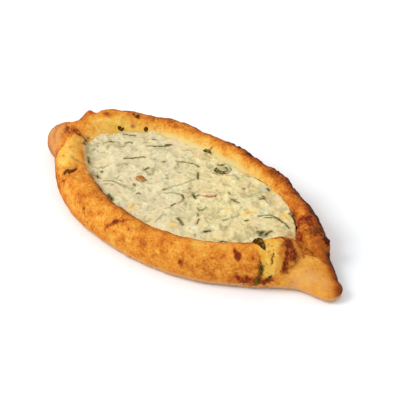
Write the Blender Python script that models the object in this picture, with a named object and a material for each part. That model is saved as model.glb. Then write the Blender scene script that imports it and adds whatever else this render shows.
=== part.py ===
"""A boat-shaped manakish: baked dough with a rolled rim, open in the middle over a bed of cheese and herbs.

Design frame: millimetres, +Z up, +X along the boat from the pinched knob to the drawn-out tail,
x = 0, y = 0 near the middle of the opening, the far side at +Y and the near side at -Y.
At the end the two solids are moved so that the centre of their common base is the origin, in metres.
"""

import math
import random

import bmesh
import bpy
import numpy as np
from mathutils import Vector, noise
from mathutils.geometry import delaunay_2d_cdt

MM = 0.001  # metres in a millimetre

# ---- outline of the dough -------------------------------------------------------------------
# A side is a bow: width * (1 - |u| ** bend) ** fullness, where u is 0 at the widest place and
# 1 at the reach. Each pair holds the value towards the knob and the value towards the tail.
FAR_SIDE = {"widest_x": -5, "width": 47, "reach": (88, 107), "bend": (2.0, 2.0), "fullness": (0.43, 0.68)}
NEAR_SIDE = {"widest_x": -8, "width": 55, "reach": (84, 105), "bend": (2.0, 2.3), "fullness": (0.48, 1.0)}
TAIL_ROOT, TAIL_TIP = (78.0, -1.5), (102.5, -2.8)
TAIL_ROOT_RADIUS, TAIL_TIP_RADIUS = 14.5, 7.6
KNOB_CENTRE, KNOB_RADIUS = (-89.8, -7.9), 11.5
SHOULDER_CENTRE, SHOULDER_RADIUS = (-85.5, 8.0), 9.5  # the far roll starts here, beside the knob
TAIL_FILLET, KNOB_FILLET, SHOULDER_FILLET = 9.0, 5.0, 3.0
# soft swellings of the outline, and hollows below zero: x, y, reach, size
OUTLINE_HUMPS = {
    "notch before the burnt knob": (74, 28, 4, -1.0),
    "hollow far flank of the tail": (93, 13, 7, -1.5),
    "slack stretch of the far side": (-65, 33, 14, -1.2),
    "full stretch of the far side": (33, 42, 9, 1.0),
    "full stretch of the near side": (-46, -50, 24, 1.3),
    "flat corner of the knob": (-96, -19, 5, -1.0),
}

# ---- outline of the opening, measured from an axis that climbs to the far side --------------
OPENING_FAR = {"widest_x": -10, "width": 30.8, "reach": (65, 79), "bend": (5.0, 3.4), "fullness": (0.8, 1.0)}
OPENING_NEAR = {"widest_x": 0, "width": 39.5, "reach": (75, 72), "bend": (2.1, 2.4), "fullness": (0.85, 1.05)}
OPENING_AXIS_Y, OPENING_TILT = 0.5, 0.1034

# ---- heights and depths ---------------------------------------------------------------------
NEAR_HEIGHT, FAR_HEIGHT, KNOB_HEIGHT = 21.5, 21.0, 18.0
TAIL_ROOT_HEIGHT, TAIL_HEIGHT = 13.5, 9.5
NEAR_ROLL_END = 78.5  # the near roll ends here in a step down to the tail
EQUATOR, EQUATOR_AT_TAIL = 7.5, 4.5  # height of the dough's widest line
RIM_RISE = 10.0  # the rim reaches its crest this far in from the outline
RIM_FALL = 9.0  # and starts to fall this far out from the opening
NEAR_LIP, FAR_LIP = 0.55, 1.0  # roundness of the edge over the filling, smaller is steeper
FOOT_INSET = 4.0  # the flat base is this much smaller than the outline
FLOOR = 6.0  # dough under the filling
FILL_EDGE = 15.0  # height where the filling meets the rim
RIM_OVER_FILL = 0.8  # step from the filling up to the rim's inner edge
FILL_DOME, FILL_DOME_REACH = 2.0, 16.0
GAP = 0.4  # clearance between dough and filling

# ---- what hands and oven left on the dough --------------------------------------------------
# bumps, and dents below zero: x, y, reach, height
BUMPS = {
    "end of the near roll, lapped over the tail": (66, -4, 9, 4.2),
    "swelling before that end": (52, -30, 14, 0.8),
    "low stretch of the near rim": (8, -42, 26, -0.8),
    "swelling beside the crack": (-71, -31, 8, 1.6),
    "low stretch behind the crack": (-58, -42, 7, -0.8),
    "first hump of the far roll": (-89, 12, 5, 3.0),
    "dip behind it": (-84, 16, 3, -1.4),
    "second hump": (-80, 19, 5, 1.4),
    "slack stretch of the far roll": (-62, 30, 10, -0.8),
    "full stretch of the far roll": (27, 40, 10, 2.2),
    "last hump of the far roll": (69, 24, 5, 2.6),
    "dip behind that hump": (75, 23, 3.5, -3.0),
    "burnt knob on the far roll": (81, 19, 2.8, 5.0),
}
BLISTERS = ((-71, 20), (-66, 26), (-50, 36), (-2, 43), (22, 42), (32, 41), (41, 36), (57, 31))
BLISTER_REACH, BLISTER_HEIGHT = 3.2, 1.3
# creases: start, end, half width at each, depth at each; a ridge has a depth below zero
CREASES = {
    "valley between far roll and tail": ((73, 7), (88, 8.5), (3.4, 2.0), (6.0, 2.6)),
    "upper lip of the tail": ((79, -1), (88, 4.5), (2.2, 2.0), (-2.0, -1.2)),
    "foot of the near roll's end": ((78.5, 0), (82, -18), (2.8, 2.8), (1.6, 1.6)),
    "crack across the near rim": ((-66, -39), (-59, -33), (1.8, 1.5), (3.0, 2.8)),
    "lip above the crack": ((-69, -35), (-62, -30.5), (2.2, 2.0), (-0.9, -0.9)),
    "small fold inside the crack": ((-66, -28), (-61, -26), (1.3, 1.3), (1.0, 1.4)),
    "fold under the seam by the knob": ((-91, -3), (-76, -5.5), (2.2, 3.0), (2.4, 5.0)),
    "seam that laps over it": ((-89, -7.5), (-79, -11), (2.3, 3.2), (-2.2, -2.4)),
    "outer arc on the knob": ((-92, -17), (-96, -7), (1.5, 1.5), (1.6, 0.8)),
    "inner arc on the knob": ((-82, -22), (-88, -12), (1.8, 1.8), (2.8, 2.0)),
}

# ---- green bits baked onto the dough: start, end, width ---------------------------------------
RIM_LEAVES = (
    ((57.5, -16.5), (66.0, -14.0), 6.0),
    ((68.0, -21.5), (72.0, -24.0), 2.6),
    ((-68.5, 14.0), (-65.5, 11.5), 2.6),
    ((-57.5, 24.5), (-56.0, 20.5), 2.2),
    ((-20.0, 30.5), (-13.5, 31.5), 1.8),
)
# ---- herbs in the cheese: start, end, width, and how far the strand bows to its left ----------
STRANDS = (
    ((-46.5, 11.5), (-40.0, 21.0), 1.0, -0.5),
    ((-47.5, -6.5), (-41.0, 3.0), 1.0, 0.4),
    ((-47.5, -11.5), (-43.0, -8.5), 1.8, 0.0),
    ((-54.5, -24.0), (-48.5, -24.5), 1.6, 0.3),
    ((-46.5, -24.5), (-29.5, -22.5), 1.0, -0.8),
    ((-33.5, -5.5), (-27.5, -1.0), 1.1, 0.8),
    ((-24.8, 11.5), (-12.5, 17.5), 1.0, 1.4),
    ((-10.2, -15.5), (-0.4, -9.5), 1.0, 2.3),
    ((-9.2, 1.0), (-7.5, 9.0), 1.0, 0.0),
    ((3.7, 0.0), (12.0, 5.0), 1.8, 0.0),
    ((11.5, -10.5), (16.0, -7.5), 1.1, -1.8),
    ((20.9, 8.1), (26.0, 7.4), 1.8, 0.0),
    ((8.7, -24.7), (13.4, -25.4), 1.6, 0.0),
    ((-36.0, -31.0), (-32.0, -31.5), 2.0, 0.0),
    ((41.2, 5.9), (59.0, 12.3), 1.1, 3.4),
    ((44.5, -4.0), (49.0, -6.0), 1.2, 0.0),
)
ONION_RING_AT, ONION_RING_RADIUS, ONION_RING_THICKNESS = (-3.0, 25.5), 3.8, 0.7
SHREDS = 26  # smaller strands, spread by a seeded rule
SHRED_LENGTHS, SHRED_WIDTHS = (3.0, 7.0), (0.9, 1.3)
SHRED_SPACING = 6.5
HERB_SEED = 11
LEAF_THICKNESS, HERB_LIFT = 0.9, 0.3  # a bit of green stands this much proud of what it lies on

# ---- fineness -------------------------------------------------------------------------------
STATIONS = 184
CLOSER_AT_ENDS = 0.9 # sections stand this share closer at the knob and the tail
FOOT_RINGS = 4
RIM_RINGS = 14
FILL_PITCH = 3.4
STRAND_STEPS = 4


def bow(x, side):
    """Half width of one side at x, and how far x lies past its reach."""
    run = x - side["widest_x"]
    pairs = (side[key] for key in ("reach", "bend", "fullness"))
    reach, bend, fullness = (np.where(run > 0, to_tail, to_knob) for to_knob, to_tail in pairs)
    u = np.abs(run) / reach
    return side["width"] * (1 - np.minimum(u, 1) ** bend) ** fullness, np.maximum(u - 1, 0) * reach


def mix(a, b, share):
    return a + (b - a) * share


def smooth_min(a, b, fillet):
    """The smaller of a and b, with the corner between them rounded."""
    share = np.clip(0.5 + 0.5 * (b - a) / fillet, 0, 1)
    return mix(b, a, share) - fillet * share * (1 - share)


def smooth_step(low, high, x):
    """0 at low, 1 at high and smooth between them."""
    share = np.clip((x - low) / (high - low), 0, 1)
    return share * share * (3 - 2 * share)


def outside_bows(x, y, far, near):
    """Negative inside the shape between two bows, positive outside it."""
    far_width, far_past = bow(x, far)
    near_width, near_past = bow(x, near)
    return np.where(y > 0, y - far_width + far_past, -y - near_width + near_past)


def along_segment(x, y, start, end):
    """Share of the way from start to end nearest to each point, and the distance to it."""
    (x0, y0), (x1, y1) = start, end
    dx, dy = x1 - x0, y1 - y0
    share = np.clip(((x - x0) * dx + (y - y0) * dy) / (dx * dx + dy * dy), 0, 1)
    return share, np.hypot(x - x0 - share * dx, y - y0 - share * dy)


def outside_round(x, y, centre, radius):
    return np.hypot(x - centre[0], y - centre[1]) - radius


def humps(x, y, places):
    """Soft round humps added up; each place gives x, y, reach and size."""
    height = 0.0
    for at_x, at_y, reach, size in places:
        height = height + size * np.exp(-((x - at_x) ** 2 + (y - at_y) ** 2) / reach**2)
    return height


def outside_dough(x, y):
    """Negative inside the dough's outline: the boat with its tail, shoulder and knob grown on."""
    share, away = along_segment(x, y, TAIL_ROOT, TAIL_TIP)
    tail = away - mix(TAIL_ROOT_RADIUS, TAIL_TIP_RADIUS, share)
    hull = smooth_min(outside_bows(x, y, FAR_SIDE, NEAR_SIDE), tail, TAIL_FILLET)
    hull = smooth_min(hull, outside_round(x, y, SHOULDER_CENTRE, SHOULDER_RADIUS), SHOULDER_FILLET)
    hull = smooth_min(hull, outside_round(x, y, KNOB_CENTRE, KNOB_RADIUS), KNOB_FILLET)
    return hull - humps(x, y, OUTLINE_HUMPS.values())


def opening_axis(x):
    return OPENING_AXIS_Y + OPENING_TILT * x


def outside_opening(x, y):
    """Negative over the filling."""
    return outside_bows(x, y - opening_axis(x), OPENING_FAR, OPENING_NEAR)


def crossing(outside, start, step, halvings=40):
    """The places on the way from start to start + step where a shape's outside begins."""
    low, high = np.zeros(len(start)), np.ones(len(start))
    for _ in range(halvings):
        middle = (low + high) / 2
        point = start + step * middle[:, None]
        out = outside(point[:, 0], point[:, 1]) > 0
        low, high = np.where(out, low, middle), np.where(out, middle, high)
    return start + step * low[:, None]


def evenly(points, count, closeness=1.0):
    """count points an even distance apart along a closed line, or closer where closeness is more."""
    closed = np.vstack([points, points[:1]])
    run = np.concatenate([[0], np.cumsum(np.hypot(*np.diff(closed, axis=0).T) * closeness)])
    at = np.arange(count) / count * run[-1]
    return np.column_stack([np.interp(at, run, closed[:, 0]), np.interp(at, run, closed[:, 1])])


def around(outside, count, rays=1440, ray_length=140.0):
    """count points an even distance apart around a shape's outline, anticlockwise."""
    turn = np.linspace(0, 2 * math.pi, rays, endpoint=False)
    ray = np.column_stack([np.cos(turn), np.sin(turn)]) * ray_length
    return evenly(crossing(outside, np.zeros((rays, 2)), ray), count)


def inward(line):
    """The unit step into an anticlockwise closed line, at each of its points."""
    along = np.roll(line, -1, axis=0) - np.roll(line, 1, axis=0)
    normal = np.column_stack([-along[:, 1], along[:, 0]])
    return normal / np.hypot(*normal.T)[:, None]


def distance_to(line, points, block=1000):
    """Distance from each point to the nearest stretch of a closed line."""
    step = np.roll(line, -1, axis=0) - line
    nearest = np.zeros(len(points))
    for first in range(0, len(points), block):
        away = points[first : first + block, None, :] - line
        share = np.clip((away * step).sum(axis=2) / (step**2).sum(axis=1), 0, 1)
        squares = ((away - share[:, :, None] * step) ** 2).sum(axis=2)
        nearest[first : first + block] = np.sqrt(squares.min(axis=1))
    return nearest


DOUGH_LINE = around(outside_dough, 600)
OPENING_LINE = around(outside_opening, 400)


def unevenness(x, y, pitch, layer):
    """Smooth noise between about -1 and 1, with humps about pitch apart."""
    places = np.column_stack([x, y]) / pitch
    return np.array([1.6 * noise.noise(Vector((*place, layer))) for place in places])


def equator(x):
    return mix(EQUATOR, EQUATOR_AT_TAIL, smooth_step(70, 95, x))


def far_share(x, y):
    """0 on the near side, 1 on the far side, smooth across the axis of the opening."""
    return smooth_step(-6, 8, y - opening_axis(x))


def crest(x, y):
    """Height of the crest of whatever dough is here: near roll, far roll, knob or tail."""
    tail = mix(TAIL_ROOT_HEIGHT, TAIL_HEIGHT, smooth_step(78, 104, x))
    end = NEAR_ROLL_END - 0.22 * (y + 14)
    near = mix(NEAR_HEIGHT, tail, smooth_step(end - 3.5, end + 2.5, x))
    far = mix(FAR_HEIGHT, tail, smooth_step(55, 94, x))
    return mix(mix(near, far, far_share(x, y)), KNOB_HEIGHT, smooth_step(-80, -92, x))


def marks(x, y):
    """What bumps, blisters and creases add to the height."""
    height = humps(x, y, [*BUMPS.values(), *((*place, BLISTER_REACH, BLISTER_HEIGHT) for place in BLISTERS)])
    for start, end, half_widths, depths in CREASES.values():
        share, away = along_segment(x, y, start, end)
        height = height - mix(*depths, share) * np.exp(-((away / mix(*half_widths, share)) ** 2))
    return height


def dough_top(x, y):
    """Height of the dough's upper side at plan points between the outline and the opening."""
    points = np.column_stack([x, y])
    from_outline = np.minimum(distance_to(DOUGH_LINE, points) / RIM_RISE, 1)
    from_opening = np.minimum(distance_to(OPENING_LINE, points) / RIM_FALL, 1)
    rise = np.sqrt(1 - (1 - from_outline) ** 2)
    fall = 1 - (1 - (1 - from_opening) ** 2) ** mix(NEAR_LIP, FAR_LIP, far_share(x, y))
    top = crest(x, y) + unevenness(x, y, 26, 0) + 0.35 * unevenness(x, y, 9, 3)
    foot = equator(x)
    return foot + (top - foot + marks(x, y) * (1 - fall)) * rise - (top - FILL_EDGE - RIM_OVER_FILL) * fall


def fill_top(x, y):
    """Height of the cheese: a low dome with curds."""
    dome = FILL_DOME * smooth_step(0, FILL_DOME_REACH, distance_to(OPENING_LINE, np.column_stack([x, y])))
    return FILL_EDGE - 0.2 + dome + 0.5 * unevenness(x, y, 10, 7) + 0.25 * unevenness(x, y, 5, 9)


def finished(name, bm):
    bmesh.ops.triangulate(bm, faces=bm.faces[:])
    mesh = bpy.data.meshes.new(name)
    bm.to_mesh(mesh)
    bm.free()
    mesh.shade_smooth()
    return bpy.data.objects.new(name, mesh)


def lofted(name, rings):
    """A closed solid from rings of equally many points, with a face across the first and the last."""
    bm = bmesh.new()
    loops = [[bm.verts.new(Vector(point) * MM) for point in ring] for ring in rings]
    for lower, upper in zip(loops, loops[1:]):
        for i, j in zip(range(len(lower)), [*range(1, len(lower)), 0]):
            bm.faces.new((lower[i], lower[j], upper[j], upper[i]))
    bm.faces.new(reversed(loops[0]))
    bm.faces.new(loops[-1])
    return finished(name, bm)


def dough_stations():
    """Where each station's section of the rim meets the outline and the opening's edge."""
    outline = evenly(DOUGH_LINE, STATIONS, 1 + CLOSER_AT_ENDS * smooth_step(42, 60, np.abs(DOUGH_LINE[:, 0])))
    heart_x = np.clip(0.62 * outline[:, 0], -46, 46)
    heart = np.column_stack([heart_x, opening_axis(heart_x)])
    return outline, crossing(outside_opening, heart, outline - heart)


def dough(outline, edge):
    """The baked dough: a foot that swells to the outline, the rolled rim and the hollow for the cheese."""
    rings = []
    for k in range(FOOT_RINGS):
        turn = math.pi / 2 * k / FOOT_RINGS
        plan = outline + inward(outline) * FOOT_INSET * (1 - math.sin(turn))
        rings.append(np.column_stack([plan, equator(outline[:, 0]) * (1 - math.cos(turn))]))
    for k in range(RIM_RINGS + 1):
        plan = mix(outline, edge, (1 - math.cos(math.pi * k / RIM_RINGS)) / 2)
        rings.append(np.column_stack([plan, dough_top(*plan.T)]))
    rings.append(np.column_stack([edge, np.full(len(edge), FLOOR)]))
    return lofted("crust", rings)


def too_close_to_dough(x, y):
    """Positive from where the cheese would come nearer to the opening's edge than the gap."""
    return GAP - distance_to(OPENING_LINE, np.column_stack([x, y]))


def cheese(edge):
    """The bed of cheese: a wall just inside the dough's, and a net of triangles with curds on top."""
    rim = evenly(crossing(too_close_to_dough, np.zeros((len(edge), 2)), edge), len(edge))
    rows = np.arange(-45, 45, FILL_PITCH * math.sqrt(3) / 2)
    columns = np.arange(-80, 80, FILL_PITCH)
    net = np.array([(x + row % 2 * FILL_PITCH / 2, y) for row, y in enumerate(rows) for x in columns])
    net = net[(outside_opening(*net.T) < 0) & (distance_to(OPENING_LINE, net) > 0.7 * FILL_PITCH)]
    border = list(zip(range(len(rim)), [*range(1, len(rim)), 0]))
    corners = [Vector(point) for point in np.vstack([rim, net])]
    plan, _, faces, *_ = delaunay_2d_cdt(corners, border, [], 1, 1e-4)
    heights = fill_top(*np.array(plan).T)
    bm = bmesh.new()
    top = [bm.verts.new(Vector((*point, z)) * MM) for point, z in zip(plan, heights)]
    floor = [bm.verts.new(Vector((*point, FLOOR + GAP)) * MM) for point in rim]
    for face in faces:
        bm.faces.new([top[i] for i in face])
    for i, j in border:
        bm.faces.new((floor[i], floor[j], top[j], top[i]))
    bm.faces.new(reversed(floor))
    return finished("cheese_filling", bm)


def on_surface(height, way):
    """Points of a plan way on a surface, and the surface's unit normals there."""
    reach = 0.3
    x, y = way.T
    slope_x = (height(x + reach, y) - height(x - reach, y)) / (2 * reach)
    slope_y = (height(x, y + reach) - height(x, y - reach)) / (2 * reach)
    normal = np.column_stack([-slope_x, -slope_y, np.ones(len(x))])
    return np.column_stack([x, y, height(x, y)]), normal / np.linalg.norm(normal, axis=1)[:, None]


def bit_of_green(height, start, end, width, bend=0.0, leaf=False):
    """A strip that lies along a surface from start to end, half sunk; a leaf swells in the middle."""
    share = np.linspace(0, 1, STRAND_STEPS + 1)
    start, end = np.array(start), np.array(end)
    left = np.array([start[1] - end[1], end[0] - start[0]]) / np.hypot(*(end - start))
    arch = 4 * share * (1 - share)
    way = mix(start, end, share[:, None]) + left * (bend * arch)[:, None]
    points, normals = on_surface(height, way)
    across = np.cross(normals, np.gradient(points, axis=0))
    across /= np.linalg.norm(across, axis=1)[:, None]
    half = width / 2 * (0.35 + 0.65 * arch if leaf else np.full(len(share), 1.0))
    wave = 0.15 * np.sin(share * 9)
    over = normals * (HERB_LIFT + wave)[:, None]
    under = over - normals * LEAF_THICKNESS
    side = across * half[:, None]
    sections = [(a - s + u, a + s + u, a + s + o, a - s + o) for a, s, u, o in zip(points, side, under, over)]
    return lofted("bit of green", [np.array(section) for section in sections])


def shreds():
    """Starts and ends of small strands, spread over the cheese, clear of its edge and of each other."""
    rng = random.Random(HERB_SEED)
    middles = [np.add(start, end) / 2 for start, end, *_ in STRANDS] + [np.array(ONION_RING_AT)]
    while len(middles) < len(STRANDS) + 1 + SHREDS:
        middle = np.array([rng.uniform(-70, 66), rng.uniform(-38, 32)])
        turn, length = rng.uniform(0, math.pi), rng.uniform(*SHRED_LENGTHS)
        half = np.array([math.cos(turn), math.sin(turn)]) * length / 2
        clear = distance_to(OPENING_LINE, middle[None])[0] > length / 2 + 2 and outside_opening(*middle) < 0
        if clear and min(math.dist(middle, other) for other in middles) > SHRED_SPACING:
            middles.append(middle)
            yield middle - half, middle + half, rng.uniform(*SHRED_WIDTHS), rng.uniform(-1, 1)


def onion_ring():
    """A slice of green onion lying in the cheese."""
    x, y = ONION_RING_AT
    z = fill_top(np.array([x]), np.array([y]))[0] + HERB_LIFT
    bm = bmesh.new()
    corners = []
    for turn in np.arange(4) * math.pi / 2:
        out, up = math.cos(turn) * ONION_RING_THICKNESS, math.sin(turn) * ONION_RING_THICKNESS
        corners.append(bm.verts.new(Vector((x + ONION_RING_RADIUS + out, y, z + up)) * MM))
    edges = [bm.edges.new((corners[i], corners[(i + 1) % 4])) for i in range(4)]
    centre = Vector((x, y, z)) * MM
    bmesh.ops.spin(bm, geom=corners + edges, cent=centre, axis=(0, 0, 1), angle=math.tau, steps=16)
    bmesh.ops.remove_doubles(bm, verts=bm.verts, dist=0.01 * MM)
    bmesh.ops.recalc_face_normals(bm, faces=bm.faces[:])
    return finished("bit of green", bm)


def fuse(body, bits):
    """Joins the bits of green to the body they lie on, in one union."""
    group = bpy.data.collections.new("bits")
    bpy.context.scene.collection.children.link(group)
    for bit in bits:
        group.objects.link(bit)
    union = body.modifiers.new("fuse", "BOOLEAN")
    union.operation = "UNION"
    union.operand_type = "COLLECTION"
    union.collection = group
    union.solver = "EXACT"
    bpy.context.view_layer.update()
    fused = bpy.data.meshes.new_from_object(body.evaluated_get(bpy.context.evaluated_depsgraph_get()))
    body.modifiers.clear()
    body.data = fused
    for bit in bits:
        bpy.data.objects.remove(bit, do_unlink=True)
    bpy.data.collections.remove(group)


def material(name, colour, roughness):
    new = bpy.data.materials.new(name)
    new.use_nodes = True
    shader = new.node_tree.nodes["Principled BSDF"]
    shader.inputs["Base Color"].default_value = (*colour, 1)
    shader.inputs["Roughness"].default_value = roughness
    shader.inputs["Metallic"].default_value = 0.0
    return new


def centre_on_base(things):
    """Moves the meshes together so that the middle of their lowest plane is the origin; gives the move."""
    points = np.array([vert.co for thing in things for vert in thing.data.vertices])
    low, high = points.min(axis=0), points.max(axis=0)
    move = Vector((-(low[0] + high[0]) / 2, -(low[1] + high[1]) / 2, -low[2]))
    for thing in things:
        for vert in thing.data.vertices:
            vert.co += move
    print("moved by", move / MM, "mm; size", (high - low) / MM, "mm")
    return move


def main():
    for old in list(bpy.data.objects):
        bpy.data.objects.remove(old, do_unlink=True)
    outline, edge = dough_stations()
    crust, bed = dough(outline, edge), cheese(edge)
    collection = bpy.data.collections.new("manakish")
    bpy.context.scene.collection.children.link(collection)
    for thing in (crust, bed):
        collection.objects.link(thing)
    fuse(crust, [bit_of_green(dough_top, *leaf, leaf=True) for leaf in RIM_LEAVES])
    fuse(bed, [bit_of_green(fill_top, *strand) for strand in [*STRANDS, *shreds()]] + [onion_ring()])
    crust.data.materials.append(material("golden crust", (0.62, 0.30, 0.08), 0.6))
    bed.data.materials.append(material("cheese with herbs", (0.78, 0.72, 0.47), 0.5))
    return centre_on_base((crust, bed))


SHIFT = main()
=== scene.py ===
# %% [markdown]
# # A boat-shaped manakish, from the dough to the herbs
# This lesson dresses a baked boat of dough that holds a bed of white cheese, dill and green onion.
# The plain solids of the dough and of the filling are loaded first. They fix the size and the place
# of everything, so each piece made below is built over them in the same frame, in metres.

# %% Load the solids of the boat
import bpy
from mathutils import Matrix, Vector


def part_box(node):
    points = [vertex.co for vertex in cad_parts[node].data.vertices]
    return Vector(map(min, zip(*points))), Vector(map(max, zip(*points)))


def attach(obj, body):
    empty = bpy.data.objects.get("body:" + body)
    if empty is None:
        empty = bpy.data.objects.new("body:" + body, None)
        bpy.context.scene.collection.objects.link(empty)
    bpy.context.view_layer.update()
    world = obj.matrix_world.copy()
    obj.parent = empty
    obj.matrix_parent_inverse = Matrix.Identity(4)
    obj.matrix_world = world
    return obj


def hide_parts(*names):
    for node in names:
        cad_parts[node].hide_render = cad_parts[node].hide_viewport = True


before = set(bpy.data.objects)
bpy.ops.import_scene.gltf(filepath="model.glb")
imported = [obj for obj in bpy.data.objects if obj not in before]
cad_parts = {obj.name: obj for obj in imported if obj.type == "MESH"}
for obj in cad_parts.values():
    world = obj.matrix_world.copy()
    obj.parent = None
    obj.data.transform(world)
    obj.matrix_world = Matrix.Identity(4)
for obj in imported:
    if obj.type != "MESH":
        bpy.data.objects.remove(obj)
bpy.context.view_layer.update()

# %% [markdown]
# ## The outline of the boat
# Seen from above, the boat is two bows of dough that meet in a pinched knob at one end and in a
# drawn-out tail at the other. Such an outline could be drawn as a curve by hand. Here it is a
# formula that says how far any point lies outside the dough, because bows, tail and knob then melt
# into each other like dough does, and the same formula later tells where to bake it brown.
# Lengths are in millimetres, +X from knob to tail, and the near side is at -Y.

# %% Bows, tail and knob
import math
import random

import bmesh
import bpy
import numpy as np
from mathutils import Matrix, Vector, kdtree, noise
from mathutils.geometry import delaunay_2d_cdt

MM = 0.001
FAR_SIDE = {"widest_x": -5, "width": 47, "reach": (88, 107), "bend": (2.0, 2.0), "fullness": (0.43, 0.68)}
NEAR_SIDE = {"widest_x": -8, "width": 55, "reach": (84, 105), "bend": (2.0, 2.3), "fullness": (0.48, 1.0)}
TAIL_ROOT, TAIL_TIP = (78.0, -1.5), (102.5, -2.8)
TAIL_ROOT_RADIUS, TAIL_TIP_RADIUS = 14.5, 7.6
KNOB_CENTRE, KNOB_RADIUS = (-89.8, -7.9), 11.5
SHOULDER_CENTRE, SHOULDER_RADIUS = (-85.5, 8.0), 9.5
TAIL_FILLET, KNOB_FILLET, SHOULDER_FILLET = 9.0, 5.0, 3.0
# x, y, reach and size
OUTLINE_HUMPS = (
    (74, 28, 4, -1), (93, 13, 7, -1.5), (-65, 33, 14, -1.2),
    (33, 42, 9, 1), (-46, -50, 24, 1.3), (-96, -19, 5, -1), (86.5, 18, 6, -2.6),
    (87, -17, 7, -1.5), (58, -37, 12, -0.8),
)


def mix(a, b, share):
    return a + (b - a) * share


def smooth_step(low, high, x):
    """0 at low, 1 at high and smooth between them."""
    share = np.clip((x - low) / (high - low), 0, 1)
    return share * share * (3 - 2 * share)


def smooth_min(a, b, fillet):
    share = np.clip(0.5 + 0.5 * (b - a) / fillet, 0, 1)
    return mix(b, a, share) - fillet * share * (1 - share)


def bow(x, side):
    """Half width of one side at x, and how far x lies past its reach."""
    run = x - side["widest_x"]
    pairs = (side[key] for key in ("reach", "bend", "fullness"))
    reach, bend, fullness = (np.where(run > 0, to_tail, to_knob) for to_knob, to_tail in pairs)
    u = np.abs(run) / reach
    return side["width"] * (1 - np.minimum(u, 1) ** bend) ** fullness, np.maximum(u - 1, 0) * reach


def outside_bows(x, y, far, near):
    far_width, far_past = bow(x, far)
    near_width, near_past = bow(x, near)
    return np.where(y > 0, y - far_width + far_past, -y - near_width + near_past)


def along_segment(x, y, start, end):
    """Share of the way from start to end nearest to each point, and the distance to it."""
    (x0, y0), (x1, y1) = start, end
    dx, dy = x1 - x0, y1 - y0
    share = np.clip(((x - x0) * dx + (y - y0) * dy) / (dx * dx + dy * dy), 0, 1)
    return share, np.hypot(x - x0 - share * dx, y - y0 - share * dy)


def humps(x, y, places):
    """Soft round humps added up; each place gives x, y, reach and size."""
    height = 0.0
    for at_x, at_y, reach, size in places:
        height = height + size * np.exp(-((x - at_x) ** 2 + (y - at_y) ** 2) / reach**2)
    return height


def outside_dough(x, y):
    """Negative inside the dough's outline."""
    share, away = along_segment(x, y, TAIL_ROOT, TAIL_TIP)
    tail = away - mix(TAIL_ROOT_RADIUS, TAIL_TIP_RADIUS, share)
    shoulder = np.hypot(x - SHOULDER_CENTRE[0], y - SHOULDER_CENTRE[1]) - SHOULDER_RADIUS
    knob = np.hypot(x - KNOB_CENTRE[0], y - KNOB_CENTRE[1]) - KNOB_RADIUS
    hull = smooth_min(outside_bows(x, y, FAR_SIDE, NEAR_SIDE), tail, TAIL_FILLET)
    hull = smooth_min(hull, shoulder, SHOULDER_FILLET)
    return smooth_min(hull, knob, KNOB_FILLET) - humps(x, y, OUTLINE_HUMPS)


print("the middle of the boat lies", -outside_dough(0.0, 0.0), "mm inside the dough")

# %% [markdown]
# ## The opening over the filling
# The rim leaves an opening shaped like an eye, a little askew to the boat. It is made from two bows
# as well. The lines of outline and opening are then found by halving: from a place inside, each ray
# is cut in two until it ends at the edge.

# %% The opening, and lines around both shapes
OPENING_FAR = {"widest_x": -10, "width": 30.8, "reach": (65, 79), "bend": (5.0, 3.4), "fullness": (0.8, 1.0)}
OPENING_NEAR = {"widest_x": 0, "width": 39.5, "reach": (75, 72), "bend": (2.1, 2.4), "fullness": (0.85, 1.05)}
OPENING_AXIS_Y, OPENING_TILT = 0.5, 0.1034
LINE_POINTS = 4800


def opening_axis(x):
    return OPENING_AXIS_Y + OPENING_TILT * x


def outside_opening(x, y):
    """Negative over the filling."""
    return outside_bows(x, y - opening_axis(x), OPENING_FAR, OPENING_NEAR)


def crossing(outside, start, step, halvings=30):
    """The places on the way from start to start + step where a shape's outside begins."""
    low, high = np.zeros(len(start)), np.ones(len(start))
    for _ in range(halvings):
        middle = (low + high) / 2
        out = outside(*(start + step * middle[:, None]).T) > 0
        low, high = np.where(out, low, middle), np.where(out, middle, high)
    return start + step * low[:, None]


def evenly(points, count, closeness=1.0):
    """count points an even distance apart along a closed line, or closer where closeness is more."""
    closed = np.vstack([points, points[:1]])
    run = np.concatenate([[0], np.cumsum(np.hypot(*np.diff(closed, axis=0).T) * closeness)])
    at = np.arange(count) / count * run[-1]
    return np.column_stack([np.interp(at, run, closed[:, 0]), np.interp(at, run, closed[:, 1])])


def around(outside, count, ray_length=140.0):
    """count points an even distance apart around a shape's outline, anticlockwise."""
    turn = np.linspace(0, 2 * math.pi, count, endpoint=False)
    ray = np.column_stack([np.cos(turn), np.sin(turn)]) * ray_length
    return evenly(crossing(outside, np.zeros((count, 2)), ray), count)


def searchable(line):
    """A closed line with a search tree of its points."""
    tree = kdtree.KDTree(len(line))
    for index, (x, y) in enumerate(line):
        tree.insert((x, y, 0), index)
    tree.balance()
    return tree, line


def distance_to(shape, x, y):
    """Distance in plan from each point to a closed line: to the two stretches at its nearest point."""
    tree, line = shape
    nearest = np.array([tree.find((a, b, 0))[1] for a, b in zip(x, y)])
    start = line[nearest]
    away = np.full(len(nearest), np.inf)
    for end in (line[nearest - 1], line[(nearest + 1) % len(line)]):
        step = end - start
        gap = np.column_stack([x, y]) - start
        share = np.clip((gap * step).sum(axis=1) / (step * step).sum(axis=1), 0, 1)
        away = np.minimum(away, np.hypot(*(gap - share[:, None] * step).T))
    return away


DOUGH_LINE = around(outside_dough, LINE_POINTS)
OPENING_LINE = around(outside_opening, LINE_POINTS)
dough_edge, opening_edge = searchable(DOUGH_LINE), searchable(OPENING_LINE)
low, high = DOUGH_LINE.min(axis=0), DOUGH_LINE.max(axis=0)
solid_low, solid_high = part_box("crust")
MOVE = np.array([*((solid_low + solid_high) / 2 / MM)[:2] - (low + high) / 2, 0])
print("outline", high - low, "mm; opening", np.ptp(OPENING_LINE, axis=0), "mm; moved by", MOVE, "mm")

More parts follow.
